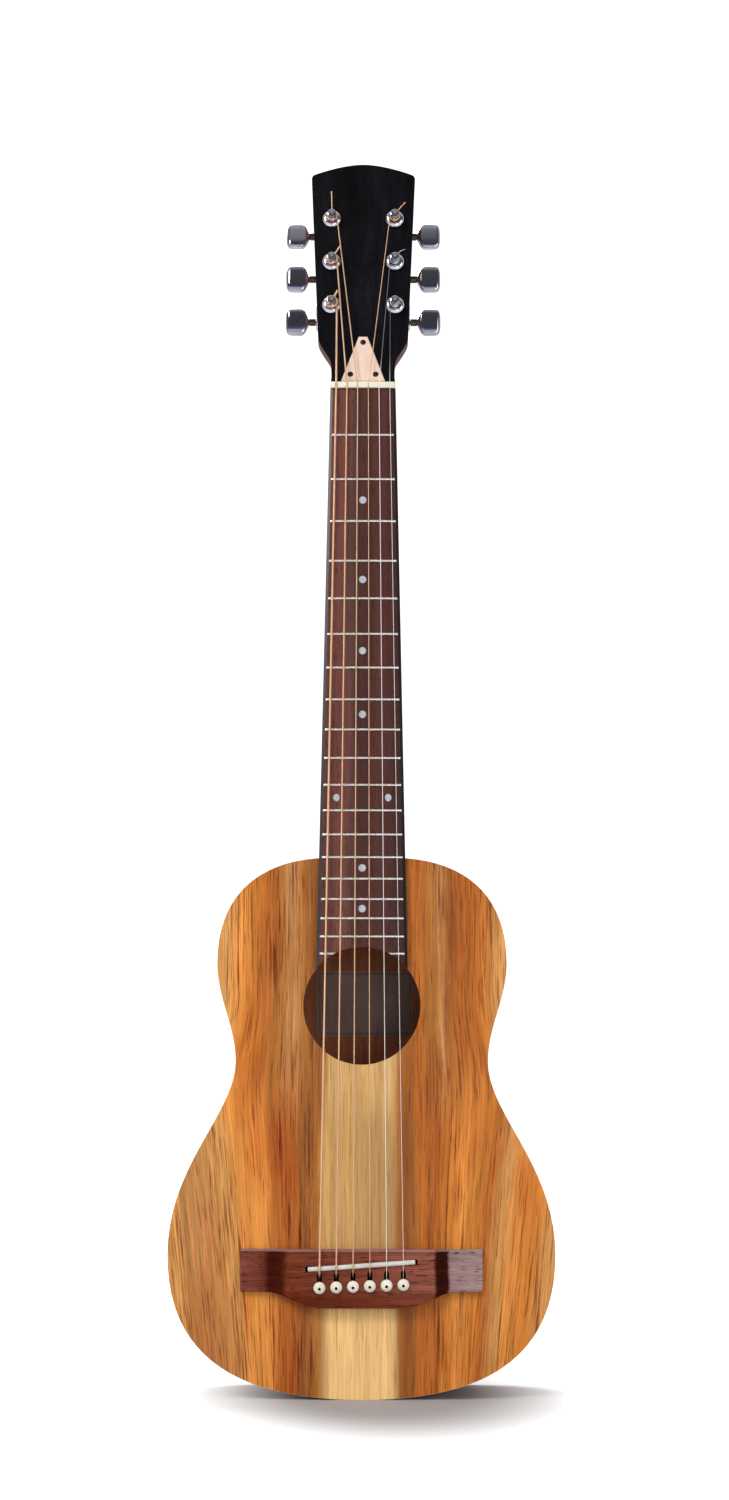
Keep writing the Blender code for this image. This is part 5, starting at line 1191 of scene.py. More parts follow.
def make_fingerboard():
    end_z = []
    for index, (x, h) in enumerate(board_section(SOUNDHOLE_Z + SOUNDHOLE_RADIUS)):
        z = board_end(x)
        z = board_end(board_section(z)[index][0])
        end_z.append(z)
    rings = []
    steps = 16
    for step in range(steps + 1):
        ring = []
        for index, low in enumerate(end_z):
            z = low + (NUT_Z - GAP - low) * step / steps
            x, h = board_section(z)[index]
            ring.append((x, z, h))
        rings.append(ring)

    def rolled(face):
        place = face.calc_center_median()
        return 1 if abs(place.x) > board_half(place.y) - roll_width(place.y) else 0

    add_piece(
        "fingerboard_smooth", skin(rings, folded=True), FACE_FRAME, "board edge",
        nodes=["fingerboard"], pick=rolled,
    )
    for number in range(1, FRET_COUNT + 1):
        bm = fret_wire(number)
        if number == FRET_COUNT:
            hole = plate([circle(0.0, SOUNDHOLE_Z, SOUNDHOLE_RADIUS, SOUNDHOLE_STEPS)], 0.0, 0.01)
            bm = combine(bm, [hole], "DIFFERENCE")
        add_piece("fret_%d" % number, bm, FACE_FRAME, "fret", nodes=["fingerboard"])


def fret_wire(number):
    """A half-round crown over a shallow tang, lower at the wire's two ends."""
    z = NUT_Z - fret_distance(number)
    half = board_half(z) - FRET_SET_IN
    rings = []
    for place in (-1.0, -0.985, -0.955, -0.8, -0.6, -0.3, 0.0, 0.3, 0.6, 0.8, 0.955, 0.985, 1.0):
        x = half * place
        face = BOARD_THICKNESS - crown_drop(x)
        height = FRET_HEIGHT * (0.25 if abs(place) == 1.0 else 0.8 if abs(place) > 0.98 else 1.0)
        ring = [(x, z - FRET_WIDTH / 2.0, face - 0.6 * MM)]
        for step in range(9):
            angle = math.pi * step / 8.0
            ring.append(
                (x, z - FRET_WIDTH / 2.0 * math.cos(angle), face + height * math.sin(angle))
            )
        ring.append((x, z + FRET_WIDTH / 2.0, face - 0.6 * MM))
        rings.append(ring)
    return skin(rings)


def make_dots():
    """Position dots, domed a hair above the board."""
    places = [(0.0, fret) for fret in DOT_FRETS]
    places += [(-DOUBLE_DOT_X, DOUBLE_DOT_FRET), (DOUBLE_DOT_X, DOUBLE_DOT_FRET)]
    for number, (x, fret) in enumerate(places, start=1):
        middle = (fret_distance(fret) + fret_distance(fret - 1)) / 2.0
        profile = [
            (0.0, 0.1 * MM), (DOT_RADIUS * 0.7, 0.07 * MM), (DOT_RADIUS, 0.02 * MM),
            (DOT_RADIUS, -0.6 * MM), (0.0, -0.6 * MM),
        ]
        place = FACE_FRAME @ Matrix.Translation((x, NUT_Z - middle, BOARD_THICKNESS - crown_drop(x)))
        add_piece("position_dot_%d" % number, lathe(profile, 32), place, "pearl")


def make_nut():
    """A bone bar across the end of the fingerboard, notched for each string."""
    half = NUT_WIDTH / 2.0
    top = []
    for index in reversed(range(6)):
        x = across(NUT_SPREAD, index)
        reach = GAUGES[index] / 2.0 + 0.12 * MM
        floor = STRING_UNDER_NUT - crown_drop(x)
        above = floor + 0.5 * MM
        top += [(x + reach * 1.15, above)]
        for step in range(7):
            angle = -math.pi * step / 6.0
            top.append((x + reach * math.cos(angle), floor + reach * (1.0 + math.sin(angle)) * 0.8))
        top += [(x - reach * 1.15, above)]
    edge = STRING_UNDER_NUT + 0.4 * MM - crown_drop(half)
    outline = [(-half, GAP), (half, GAP), (half, edge - 0.5 * MM), (half - 0.5 * MM, edge)]
    outline += top + [(-half + 0.5 * MM, edge), (-half, edge - 0.5 * MM)]
    rings = []
    thickness = NUT_BACK_Z - NUT_Z
    for place, drop in ((0.0, 0.35), (0.12, 0.05), (0.2, 0.0), (0.75, 0.1), (0.9, 0.35), (1.0, 0.9)):
        ring = []
        for x, h in outline:
            lowered = h - drop * MM if h > 2.0 * MM else h
            ring.append((x, NUT_Z + thickness * place, lowered))
        rings.append(ring)
    add_piece("nut_smooth", skin(rings), FACE_FRAME, "bone", nodes=["nut"])


def make_saddle():
    """A bar with a rounded top edge, lower at its two ends."""
    floor = GAP + BRIDGE_THICKNESS - SADDLE_DEPTH
    half = SADDLE_LENGTH / 2.0
    rings = []
    places = [-1.0, -0.995, -0.98] + [step / 8.0 * 0.96 for step in range(-7, 8)] + [0.98, 0.995, 1.0]
    for place in places:
        x = half * place
        top = STRING_UNDER_SADDLE - GAP - crown_drop(x)
        shrink = {1.0: 0.8, 0.995: 0.35, 0.98: 0.05}.get(abs(place), 0.0) * MM
        wide = SADDLE_THICKNESS / 2.0 - shrink * 0.6
        ring = [(x, floor, wide)]
        for step in range(9):
            angle = math.pi * step / 8.0
            ring.append((x, top - shrink - 1.1 * MM * (1.0 - math.sin(angle)), wide * math.cos(angle)))
        ring.append((x, floor, -wide))
        rings.append(ring)
    add_piece("saddle_smooth", skin(rings), saddle_frame(), "saddle", nodes=["saddle"])


def bridge_outline():
    """Straight wings and a curved belly behind the pins."""
    wing_z = BRIDGE_FRONT_Z - BRIDGE_WING_HEIGHT
    right = [(0.0, wing_z - BRIDGE_BELLY)]
    right += bezier(
        (BRIDGE_BELLY_FLAT, wing_z - BRIDGE_BELLY),
        (BRIDGE_BELLY_FLAT + 16.0 * MM, wing_z - BRIDGE_BELLY),
        (BRIDGE_BELLY_HALF - 9.0 * MM, wing_z - 1.5 * MM), (BRIDGE_BELLY_HALF, wing_z - 0.3 * MM), 20,
    )
    right += [(BRIDGE_BELLY_HALF, wing_z - 0.3 * MM), (BRIDGE_BELLY_HALF + MM, wing_z)]
    right += [(BRIDGE_HALF, wing_z + 0.4 * MM), (BRIDGE_HALF, BRIDGE_FRONT_Z), (0.0, BRIDGE_FRONT_Z)]
    return mirrored(right)


def bridge_profile():
    """The bridge seen from the tail, as (x, h): flat middle, scooped to thin wings."""
    start = BRIDGE_CENTRE_HALF
    end = start + BRIDGE_SCOOP
    right = [(0.0, 0.0), (BRIDGE_HALF + MM, 0.0), (BRIDGE_HALF + MM, BRIDGE_WING_OUTER)]
    scoop = bezier(
        (start, BRIDGE_THICKNESS), (start + BRIDGE_SCOOP * 0.3, BRIDGE_WING_INNER + 1.6 * MM),
        (start + BRIDGE_SCOOP * 0.55, BRIDGE_WING_INNER + 0.1 * MM), (end, BRIDGE_WING_INNER), 14,
    )
    right += [(end, BRIDGE_WING_INNER)] + list(reversed(scoop)) + [(0.0, BRIDGE_THICKNESS)]
    return mirrored(right)


def slot_cutter(index):
    """A round-ended slot whose floor rises from the pin hole towards the saddle."""
    x, z = pin_place(index)
    top = GAP + BRIDGE_THICKNESS
    half = SLOT_WIDTH / 2.0
    centre = SLOT_REACH - half
    rings = []
    places = [0.0, 3.4 * MM] + [centre + half * math.sin(math.pi / 2.0 * step / 6.0) for step in range(7)]
    for place in places:
        wide = math.sqrt(max(half * half - max(place - centre, 0.0) ** 2, 1e-9))
        share = max(0.0, place - 3.4 * MM) / (SLOT_REACH - 3.4 * MM)
        floor = top - SLOT_DEPTH + (SLOT_DEPTH - SLOT_MOUTH_DEPTH) * share
        rings.append([
            (x - wide, z + place, floor), (x + wide, z + place, floor),
            (x + wide, z + place, top + MM), (x - wide, z + place, top + MM),
        ])
    return skin(rings)


def make_bridge():
    body = plate([bridge_outline()], GAP, GAP + BRIDGE_THICKNESS)
    # The profile's plane is (x, h), so its frame looks along Z.
    frame_across = Matrix(((1, 0, 0, 0), (0, 0, 1, BRIDGE_FRONT_Z), (0, 1, 0, GAP), (0, 0, 0, 1)))
    profile = moved(plate([bridge_profile()], -60.0 * MM, 10.0 * MM), frame_across)
    bm = combine(body, [profile], "INTERSECT")
    round_edges(bm, BRIDGE_EDGE_ROUND, lambda place: place.z > 2.0 * MM, 3, 40.0)
    cutters = [slot_cutter(index) for index in range(6)]
    for index in range(6):
        cutters.append(plate([circle(*pin_place(index), PIN_RADIUS + GAP, 28)], -MM, 12.0 * MM))
    bm = combine(bm, cutters, "DIFFERENCE")
    half_length = SADDLE_LENGTH / 2.0 + SADDLE_SLOT_SPARE
    half_width = SADDLE_THICKNESS / 2.0 + GAP
    top = GAP + BRIDGE_THICKNESS
    slot = block(
        (-half_length, top - SADDLE_DEPTH - GAP, -half_width), (half_length, top + MM, half_width)
    )
    slot = moved(slot, FACE_FRAME.inverted() @ saddle_frame())
    bm = combine(bm, [slot], "DIFFERENCE")

    # Faces inside the slots, pin holes and saddle slot take the near-black look, painted shade.
    def carved(face):
        place = face.calc_center_median()
        inner = abs(place.x) < half_length and place.z < top - 0.05 * MM
        low_z = pin_place(0)[1] - 3.0 * MM
        return 1 if inner and low_z < place.y < BRIDGE_FRONT_Z - 5.0 * MM else 0

    add_piece(
        "bridge_smooth", bm, FACE_FRAME, "bridge slot", nodes=["bridge"], pick=carved, flat=True
    )


def make_pins():
    seat = GAP + BRIDGE_THICKNESS + GAP
    for index in range(6):
        number = 6 - index
        x, z = pin_place(index)
        profile = [(0.0, seat + PIN_HEAD_HEIGHT)]
        for step in range(1, 9):
            angle = math.pi / 2.0 * step / 8.0
            rise = 0.9 * MM + (PIN_HEAD_HEIGHT - 0.9 * MM) * math.cos(angle)
            profile.append((PIN_HEAD_RADIUS * math.sin(angle), seat + rise))
        profile += [
            (PIN_HEAD_RADIUS, seat + 0.45 * MM), (PIN_HEAD_RADIUS * 0.9, seat),
            (PIN_RADIUS, seat), (PIN_TIP_RADIUS, -PIN_BELOW_TOP), (0.0, -PIN_BELOW_TOP),
        ]
        place = FACE_FRAME @ Matrix.Translation((x, z, 0.0))
        add_piece(
            "pin_smooth_%d" % number, lathe(profile, 40), place, "bone",
            nodes=["bridge_pin_%d" % number],
        )
        dot = [(0.0, 0.05 * MM), (0.85 * MM, 0.02 * MM), (1.05 * MM, -0.14 * MM), (0.0, -0.5 * MM)]
        place = FACE_FRAME @ Matrix.Translation((x, z - 0.5 * MM, seat + PIN_HEAD_HEIGHT - 0.02 * MM))
        place = place @ Matrix.Rotation(math.radians(4.5), 4, "X")
        add_piece("pin_dot_%d" % number, lathe(dot, 24), place, "dark")


def string_nut_point(index):
    x = across(NUT_SPREAD, index)
    return Vector((x, NUT_Z + 0.8 * MM, STRING_UNDER_NUT - crown_drop(x) + GAUGES[index] / 2.0))


def string_saddle_point(index):
    x = across(SADDLE_SPREAD, index)
    return Vector((x, saddle_z(x), STRING_UNDER_SADDLE - crown_drop(x) + GAUGES[index] / 2.0))


def post_for(index):
    """Side and place of the post that takes a string: -1 is the bass side."""
    row = index if index < 3 else 5 - index
    side = -1 if index < 3 else 1
    return side, side * POST_X, POST_D[row]


def coil_points(index):
    """The wraps on a post, from where the string meets it to the mouth of its hole."""
    side, post_x, post_d = post_for(index)
    mirror = -side
    start = HEAD_FRAME.inverted() @ (FACE_FRAME @ string_nut_point(index))
    to_post = Vector((mirror * (post_x - start.x), post_d - start.y))
    radius = POST_WAIST_RADIUS + GAP + GAUGES[index] / 2.0
    heading = math.atan2(to_post.y, to_post.x) - math.asin(radius / to_post.length)
    first = heading - math.pi / 2.0
    mouth = math.radians(TAIL_ANGLES[index] - 180.0 - HOLE_LEAD)
    turns = 1.0 + ((mouth - first) % (2.0 * math.pi)) / (2.0 * math.pi)
    pitch = GAUGES[index] + WRAP_SPARE
    count = math.ceil(turns * LOOP_STEPS)
    points = []
    for step in range(count + 1):
        turned = turns * step / count
        angle = first + 2.0 * math.pi * turned
        x = post_x + mirror * radius * math.cos(angle)
        d = post_d + radius * math.sin(angle)
        points.append(Vector((x, d, WRAP_START + pitch * turned)))
    return points


def tail_points(index, coil):
    """From the last wrap into the post's hole, through it and out to the clipped end."""
    side, post_x, post_d = post_for(index)
    angle = math.radians(TAIL_ANGLES[index])
    mirror = -side
    out = Vector((mirror * math.cos(angle), math.sin(angle), 0.0))
    centre = Vector((post_x, post_d, coil[-1].z))
    points = [centre - out * POST_RADIUS * 0.75, centre + out * POST_RADIUS]
    steps = 8
    length = TAIL_LENGTHS[index]
    place = points[-1]
    for step in range(1, steps + 1):
        bend = math.radians(TAIL_BENDS[index]) * step / steps
        heading = angle + bend
        move = Vector((mirror * math.cos(heading), math.sin(heading), 0.12)) * (length / steps)
        place = place + move
        points.append(place)
    return points


def make_string(index):
    number = 6 - index
    radius = GAUGES[index] / 2.0
    x, pin_z = pin_place(index)
    run_z = pin_z + 2.15 * MM
    ball_z = pin_z + 3.2 * MM
    ball_radius = 1.7 * MM
    plate_under = -(PLATE_THICKNESS + 3.0 * MM + 2.0 * GAP)
    ball_h = plate_under - GAP - ball_radius
    enter = BRIDGE_THICKNESS + GAP - SLOT_DEPTH + GAP + radius + 0.2 * MM
    points = []
    swell = []
    for step in range(6):
        share = -0.99 + step * 0.31
        points.append(Vector((x, ball_z, ball_h + ball_radius * share)))
        swell.append(max(1.0, ball_radius * math.sqrt(1.0 - share * share) / radius))
    over = string_saddle_point(index) - Vector((0.0, 0.0, 0.1 * MM))
    points += [
        Vector((x, run_z + 0.2 * (ball_z - run_z), plate_under)),
        Vector((x, run_z, -PLATE_THICKNESS)),
        Vector((x, run_z, enter - 1.4 * radius)),
        Vector((x, run_z + 0.15 * radius, enter - 0.5 * radius)),
        Vector((x, run_z + 0.6 * radius, enter + 0.1 * radius)),
        over + Vector((0.0, -1.5 * MM, -0.35 * MM)),
        over + Vector((0.0, -0.6 * MM, -0.05 * MM)),
        over + Vector((0.0, 0.6 * MM, 0.0)),
        string_nut_point(index),
    ]
    coil = coil_points(index)
    joint = [FACE_FRAME @ point for point in points]
    bend = HEAD_FRAME @ coil[0]
    way = (bend - joint[-1]).normalized()
    joint.append(joint[-1] + way * 1.2 * MM)
    joint.append(bend)
    swell += [1.0] * (len(joint) - len(swell))
    look = string_look(number)
    node = ["string_%d" % number]
    add_piece("string_run_%d" % number, wire(joint, radius, swell), Matrix(), look, nodes=node)
    before = coil[0] - (HEAD_FRAME.inverted().to_3x3() @ way) * 0.6 * MM
    turns = [before] + coil + tail_points(index, coil)
    wound = [HEAD_FRAME @ point for point in turns]
    end = add_piece(
        "string_end_%d" % number, wire(wound, radius), Matrix(), look + "_end", body=None,
        nodes=node,
    )
    side, post_x, post_d = post_for(index)
    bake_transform(end)


def gear_ring(h):
    """The gear's outline at one height: a gap faces the worm, which lies towards -d."""
    ring = []
    tooth = 2.0 * math.pi / GEAR_TEETH
    outer = GEAR_RADIUS + 0.38 * MM
    root = GEAR_RADIUS - 0.5 * MM
    for number in range(GEAR_TEETH):
        centre = -math.pi / 2.0 + tooth * (number + 0.5)
        for offset, radius in (
            (-0.255 * tooth, root), (-0.1 * tooth, outer), (0.1 * tooth, outer), (0.255 * tooth, root)
        ):
            angle = centre + offset
            ring.append((radius * math.cos(angle), radius * math.sin(angle), h))
    return ring


def make_post(index, place):
    """The string post with its waist, cross hole and gear."""
    number = 6 - index
    side = post_for(index)[0]
    waist_low = VENEER_FACE + GAP + DOME_HEIGHT + 0.6 * MM
    waist_high = POST_TOP - 1.5 * MM
    gear_top = SHAFT_H + GEAR_HEIGHT / 2.0
    profile = [
        (0.0, POST_TOP - 0.25 * MM), (0.7 * MM, POST_TOP - 0.25 * MM), (0.95 * MM, POST_TOP),
        (POST_RADIUS - 0.5 * MM, POST_TOP), (POST_RADIUS - 0.15 * MM, POST_TOP - 0.15 * MM),
        (POST_RADIUS, POST_TOP - 0.5 * MM), (POST_RADIUS, waist_high + 0.5 * MM),
        (POST_WAIST_RADIUS + 0.1 * MM, waist_high + 0.15 * MM), (POST_WAIST_RADIUS, waist_high),
        (POST_WAIST_RADIUS, waist_low + 0.5 * MM), (POST_RADIUS, waist_low),
        (POST_RADIUS, gear_top - 0.8 * MM), (0.0, gear_top - 0.8 * MM),
    ]
    gear = skin([gear_ring(SHAFT_H - GEAR_HEIGHT / 2.0), gear_ring(gear_top)])
    bm = combine(lathe(profile, 40), [gear], "UNION")
    angle = math.radians(TAIL_ANGLES[index])
    hole = lathe(
        [(0.0, -5.0 * MM), (POST_HOLE_RADIUS, -5.0 * MM), (POST_HOLE_RADIUS, 5.0 * MM), (0.0, 5.0 * MM)],
        20,
    )
    along = Vector((-side * math.cos(angle), math.sin(angle), 0.0))
    turn = along.to_track_quat("Z", "Y").to_matrix().to_4x4()
    hole = moved(hole, Matrix.Translation((0.0, 0.0, coil_points(index)[-1].z)) @ turn)
    bm = combine(bm, [hole], "DIFFERENCE")
    add_piece(
        "post_smooth_%d" % number, bm, place, "chrome", body="post_%d" % number,
        nodes=["string_post_%d" % number], flat=True,
    )


def make_bushing(index, place):
    """A domed ferrule on the face, with its sleeve through the headstock."""
    number = 6 - index
    base = VENEER_FACE + GAP
    bore = POST_RADIUS + GAP
    dome = []
    for step in range(9):
        angle = math.pi / 2.0 * step / 8.0
        reach = DOME_TOP_RADIUS + (DOME_RADIUS - DOME_TOP_RADIUS) * math.cos(angle)
        dome.append((reach, base + 0.5 * MM + (DOME_HEIGHT - 0.5 * MM) * math.sin(angle)))
    profile = [(bore, -SLEEVE_DEPTH), (SLEEVE_RADIUS, -SLEEVE_DEPTH), (SLEEVE_RADIUS, base)]
    profile += [(DOME_RADIUS - 0.1 * MM, base), (DOME_RADIUS, base + 0.1 * MM)] + dome
    profile += [(bore + 0.2 * MM, base + DOME_HEIGHT), (bore, base + DOME_HEIGHT - 0.2 * MM)]
    rings = []
    for step in range(56):
        angle = 2.0 * math.pi * step / 56
        rings.append([(r * math.cos(angle), r * math.sin(angle), h) for r, h in profile])
    add_piece(
        "bushing_smooth_%d" % number, skin(rings, closed=True), place, "chrome",
        nodes=["tuner_bushing_%d" % number],
    )


def bore(radius, start, end, steps=28):
    """A cutter along X between two places."""
    bm = lathe([(0.0, start), (radius, start), (radius, end), (0.0, end)], steps)
    return moved(bm, Matrix(((0, 0, 1, 0), (0, 1, 0, SHAFT_D), (-1, 0, 0, SHAFT_H), (0, 0, 0, 1))))


def make_housing(index, place):
    """A die-cast case behind the headstock, hollow for the gear and the worm."""
    number = 6 - index
    side = post_for(index)[0]
    front = -(HEAD_THICKNESS + GAP)
    ends = sorted((-side * HOUSING_INNER, side * HOUSING_OUTER))
    case = block(
        (ends[0], -HOUSING_BELOW, front - HOUSING_HEIGHT), (ends[1], HOUSING_ABOVE, front)
    )
    bmesh.ops.bevel(
        case, geom=case.edges[:], offset=HOUSING_ROUND, segments=4, profile=0.5, affect="EDGES"
    )
    floor = SHAFT_H - GEAR_HEIGHT / 2.0 - GAP
    room = lathe(
        [(0.0, front + MM), (GEAR_ROOM_RADIUS, front + MM), (GEAR_ROOM_RADIUS, floor), (0.0, floor)], 36
    )
    shaft = sorted((0.0, side * (HOUSING_OUTER + MM)))
    rooms = [room, bore(WORM_ROOM_RADIUS, -WORM_ROOM_HALF, WORM_ROOM_HALF)]
    rooms.append(bore(SHAFT_RADIUS + GAP, *shaft))
    bm = combine(case, rooms, "DIFFERENCE")
    add_piece(
        "housing_smooth_%d" % number, bm, place, "chrome", nodes=["tuner_housing_%d" % number],
        flat=True,
    )


def button_shape():
    """The button along its shaft: place, half width and half thickness from the collar on."""
    length = BUTTON_LENGTH
    wide = bezier(
        (0.0, 2.6 * MM), (0.08 * length, 5.6 * MM), (0.17 * length, 8.6 * MM),
        (0.31 * length, BUTTON_HALF), 12,
    )
    wide += bezier(
        (0.31 * length, BUTTON_HALF), (0.45 * length, BUTTON_HALF), (0.6 * length, BUTTON_HALF),
        (0.78 * length, BUTTON_HALF - 0.2 * MM), 4,
    )
    wide += bezier(
        (0.78 * length, BUTTON_HALF - 0.2 * MM), (0.95 * length, BUTTON_HALF - 0.5 * MM),
        (length, 6.4 * MM), (length, 0.5 * MM), 14,
    )
    shape = []
    for x, half in wide:
        near = min(1.0, (length - x) / (3.0 * MM))
        thick = BUTTON_THICKNESS / 2.0 * math.sqrt(1.0 - (1.0 - near) ** 2)
        start = min(1.0, x / (2.5 * MM))
        thick = min(thick, 2.2 * MM + 0.8 * MM * start)
        shape.append((x, half, max(thick, 0.3 * MM)))
    return shape


def make_button(index, place):
    """A keystone button with a round collar, turned on its shaft as in the photograph."""
    number = 6 - index
    side = post_for(index)[0]
    start = COLLAR_START + COLLAR_LENGTH
    hollow = SHAFT_RADIUS + GAP
    rings = []
    sections = [
        (COLLAR_START, 2.3 * MM, 2.3 * MM, 2.0), (COLLAR_START + 0.3 * MM, 2.6 * MM, 2.6 * MM, 2.0),
        (start - 0.9 * MM, 2.6 * MM, 2.6 * MM, 2.0), (start - 0.5 * MM, 2.2 * MM, 2.2 * MM, 2.0),
        (start - 0.1 * MM, 2.3 * MM, 2.2 * MM, 2.0),
    ]
    for x, half, thick in button_shape():
        power = 2.0 + 1.6 * min(1.0, x / (2.0 * MM))
        sections.append((start + x, half, thick, power))
    steps = 44
    for x, half, thick, power in sections:
        ring = []
        for step in range(steps):
            cosine = math.cos(2.0 * math.pi * step / steps)
            sine = math.sin(2.0 * math.pi * step / steps)
            d = half * math.copysign(abs(cosine) ** (2.0 / power), cosine)
            h = thick * math.copysign(abs(sine) ** (2.0 / power), sine)
            ring.append((side * x, d, h))
        rings.append(ring)
    inner = sorted((side * (COLLAR_START - MM), side * (COLLAR_START + 10.3 * MM)))
    drill = lathe([(0.0, inner[0]), (hollow, inner[0]), (hollow, inner[1]), (0.0, inner[1])], 24)
    drill = moved(drill, Matrix(((0, 0, 1, 0), (0, 1, 0, 0), (-1, 0, 0, 0), (0, 0, 0, 1))))
    bm = combine(skin(rings), [drill], "DIFFERENCE")
    turn = Matrix.Translation((0.0, SHAFT_D, SHAFT_H))
    turn = turn @ Matrix.Rotation(math.radians(BUTTON_TURNS[index]), 4, "X")

    def by_length(face):
        return 1 if abs(face.calc_center_median().x) < start else 0

    add_piece(
        "button_smooth_%d" % number, bm, place @ turn, "button collar", body="button_%d" % number,
        nodes=["tuner_button_%d" % number], pick=by_length,
    )


def make_tuner(index):
    side, post_x, post_d = post_for(index)
    place = HEAD_FRAME @ Matrix.Translation((post_x, post_d, 0.0))
    make_post(index, place)
    make_bushing(index, place)
    make_housing(index, place)
    make_button(index, place)


def make_label():
    """A blank paper label with a plain border on the inside of the back."""
    slope = math.atan((BODY_DEPTH_TAIL - BODY_DEPTH_HEEL) / BODY_LENGTH)
    z = SOUNDHOLE_Z + 1.7 * MM
    depth = BODY_DEPTH_TAIL - PLATE_THICKNESS - math.tan(slope) * z
    place = FACE_FRAME @ Matrix.Translation((2.0 * MM, z, -depth + 0.35 * MM))
    place = place @ Matrix.Rotation(slope, 4, "X")
    paper = block((-32.5 * MM, -22.0 * MM, -0.08 * MM), (32.5 * MM, 22.0 * MM, 0.08 * MM))
    add_piece("paper_label", paper, place, "paper")
    outer = [(-31.0 * MM, -20.5 * MM), (31.0 * MM, -20.5 * MM), (31.0 * MM, 20.5 * MM), (-31.0 * MM, 20.5 * MM)]
    inner = [(x * 0.965, y * 0.95) for x, y in outer]
    add_piece("label_border", plate([outer, inner], 0.08 * MM, 0.12 * MM), place, "print")


def make_stage():
    """A pale floor that rises into a backdrop, white to the camera but with shadows kept, and with a painted
    shadow where its glow fades out round the guitar.
    """
    look = Look("studio_paper", roughness=0.9, colour=(0.42, 0.42, 0.42, 1.0))
    tree = look.tree
    output = tree.nodes["Material Output"]
    path = look.node("LightPath", {})
    seen = look.math("MAXIMUM", path.outputs["Is Camera Ray"], path.outputs["Is Glossy Ray"])
    seen = look.math("MAXIMUM", seen, path.outputs["Is Transmission Ray"])
    # Painted shadow: the floor's glow fades to nothing in an ellipse round the tail.
    painted_shadow_spot = look.node("Mapping", {"Vector": look.source, "Location": (-0.03, 0.0, 0.0), "Scale": (1.75, 0.92, 1.0)})
    away = look.node("VectorMath", {0: painted_shadow_spot.outputs[0]}, operation="LENGTH").outputs["Value"]
    level = look.smooth(away, 0.08, 0.29, 0.0, 1.0)
    mirrored_wall = look.smooth(look.axis("Z"), 0.05, 0.35, 0.5, 0.15)
    level = look.math("MULTIPLY", level, look.math("MAXIMUM", path.outputs["Is Camera Ray"], mirrored_wall))
    glow = look.node("Emission", {"Color": (1.0, 1.0, 1.0, 1.0), "Strength": level})
    both = look.node("AddShader", {0: glow.outputs[0], 1: look.shader.outputs[0]})
    mixed = look.node("MixShader", {0: seen, 1: look.shader.outputs[0], 2: both.outputs[0]})
    tree.links.new(mixed.outputs[0], output.inputs["Surface"])
    half = 6.0
    bend = 3.6
    radius = 0.4
    profile = [(-6.0, 0.0), (bend, 0.0)]
    for step in range(1, 13):
        angle = math.pi / 2.0 * step / 12.0
        profile.append((bend + radius * math.sin(angle), radius * (1.0 - math.cos(angle))))
    profile.append((bend + radius, 3.5))
    bm = bmesh.new()
    rows = [[bm.verts.new((x, y, z)) for x in (-half, half)] for y, z in profile]
    for lower, upper in zip(rows, rows[1:]):
        bm.faces.new((lower[0], lower[1], upper[1], upper[0]))
    mesh = bpy.data.meshes.new("studio_sweep")
    bm.to_mesh(mesh)
    bm.free()
    mesh.shade_smooth()
    mesh.materials.append(look.material)
    sweep = bpy.data.objects.new("studio_sweep", mesh)
    bpy.context.scene.collection.objects.link(sweep)


def add_lamp(name, place, target, size, power, colour=(1.0, 1.0, 1.0)):
    light = bpy.data.lights.new(name, "AREA")
    light.shape = "DISK"
    light.size = size
    light.energy = power
    light.color = colour
    obj = bpy.data.objects.new(name, light)
    obj.location = place
    aim = Vector(target) - Vector(place)
    obj.rotation_euler = aim.to_track_quat("-Z", "Y").to_euler()
    bpy.context.scene.collection.objects.link(obj)


def world_node(tree, kind, inputs, **settings):
    made = tree.nodes.new("ShaderNode" + kind)
    for name, value in settings.items():
        setattr(made, name, value)
    for key, value in inputs.items():
        if isinstance(value, bpy.types.NodeSocket):
            tree.links.new(value, made.inputs[key])
        else:
            made.inputs[key].default_value = value
    return made


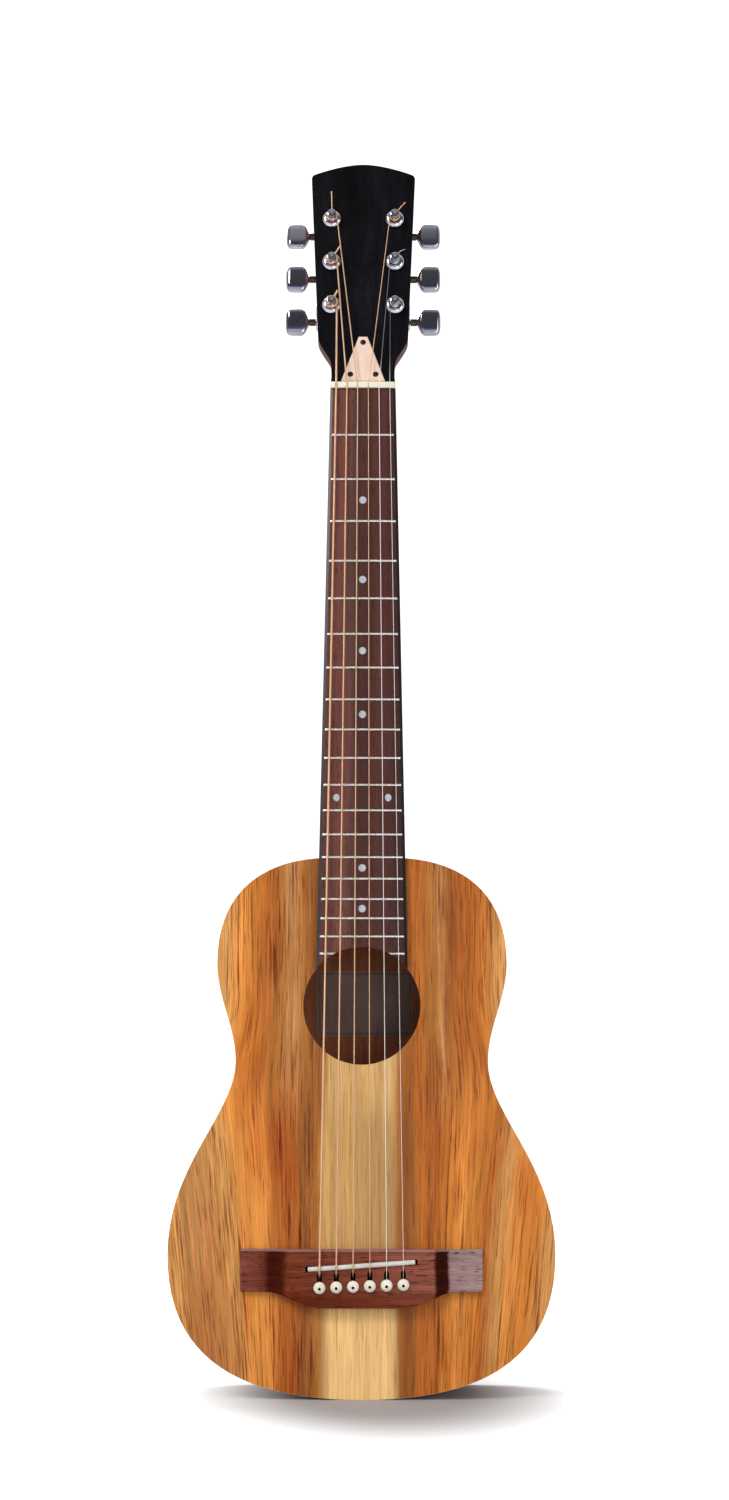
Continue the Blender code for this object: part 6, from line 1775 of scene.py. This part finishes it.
def make_world():
    """Plain light all round; what shines mirrors a bright floor and a dark room above it."""
    world = bpy.data.worlds.new("studio")
    bpy.context.scene.world = world
    world.use_nodes = True
    tree = world.node_tree
    background = tree.nodes["Background"]
    path = world_node(tree, "LightPath", {})
    place = world_node(tree, "TexCoord", {})
    parts = world_node(tree, "SeparateXYZ", {"Vector": place.outputs["Generated"]})
    height = world_node(tree, "Math", {0: parts.outputs["Z"], 1: 0.5, 2: 0.5}, operation="MULTIPLY_ADD")
    room = world_node(tree, "ValToRGB", {"Fac": height.outputs[0]})
    stops = (
        (0.49, (1.0, 1.0, 1.0, 1.0)), (0.525, (0.66, 0.66, 0.86, 1.0)),
        (0.56, (0.24, 0.22, 0.42, 1.0)), (0.62, (0.09, 0.09, 0.10, 1.0)),
        (0.80, (0.13, 0.13, 0.135, 1.0)), (0.97, (0.8, 0.8, 0.82, 1.0)),
    )
    elements = room.color_ramp.elements
    while len(elements) < len(stops):
        elements.new(0.5)
    for element, (position, colour) in zip(elements, stops):
        element.position = position
    for element, (position, colour) in zip(elements, stops):
        element.color = colour
    behind = world_node(
        tree, "MapRange", {"Value": parts.outputs["Y"], "From Min": -0.1, "From Max": 0.25}
    )
    mirrored_room = world_node(
        tree, "Mix", {"Factor": behind.outputs[0], 6: room.outputs["Color"], 7: (1.0, 1.0, 1.0, 1.0)},
        data_type="RGBA",
    )
    plain = (0.55, 0.55, 0.55, 1.0)
    lit = world_node(
        tree, "Mix", {"Factor": path.outputs["Is Glossy Ray"], 6: plain, 7: mirrored_room.outputs[2]},
        data_type="RGBA",
    )
    shown = world_node(
        tree, "Mix", {"Factor": path.outputs["Is Camera Ray"], 6: lit.outputs[2], 7: (1.0, 1.0, 1.0, 1.0)},
        data_type="RGBA",
    )
    tree.links.new(shown.outputs[2], background.inputs["Color"])
    background.inputs["Strength"].default_value = 1.0


def make_light():
    make_world()
    middle = (0.0, 0.0, 0.4)
    add_lamp("key", (-1.3, -1.7, 1.9), middle, 0.9, 32.0)
    add_lamp("fill", (1.6, -1.5, 0.9), middle, 1.2, 9.0)
    add_lamp("low_right", (0.5, -1.6, 0.3), (0.05, 0.0, 0.1), 0.5, 3.0, (0.92, 0.9, 1.0))
    add_lamp("above", (-0.15, 0.48, 1.15), (0.0, 0.0, 0.0), 0.7, 22.0)


# The photograph's view, solved from the nut, body, bridge and tuners
CAMERA_PLACE = (1.7 * MM, TOP_Y - 1800.9 * MM, 240.9 * MM)
CAMERA_PITCH = math.radians(5.60)
CAMERA_ROLL = math.radians(-0.097)
CAMERA_LENS = 66.42


def make_camera():
    camera = bpy.data.cameras.new("camera")
    camera.sensor_fit = "VERTICAL"
    camera.sensor_height = 36.0
    camera.lens = CAMERA_LENS
    obj = bpy.data.objects.new("camera", camera)
    obj.location = CAMERA_PLACE
    obj.rotation_euler = (math.pi / 2.0 + CAMERA_PITCH, CAMERA_ROLL, 0.0)
    bpy.context.scene.collection.objects.link(obj)
    bpy.context.scene.camera = obj


def main():
    LOOKS.update(make_looks())
    make_camera()
    dress_frame()
    make_soundboard()
    make_back_plate()
    make_side("side_bass", -1)
    make_side("side_treble", 1)
    make_neck()
    make_headstock_veneer()
    make_cover()
    make_fingerboard()
    make_dots()
    make_nut()
    make_saddle()
    make_bridge()
    make_pins()
    for index in range(6):
        make_string(index)
        make_tuner(index)
    make_label()
    make_stage()
    make_light()
    bpy.context.scene.view_settings.view_transform = "Standard"


main()
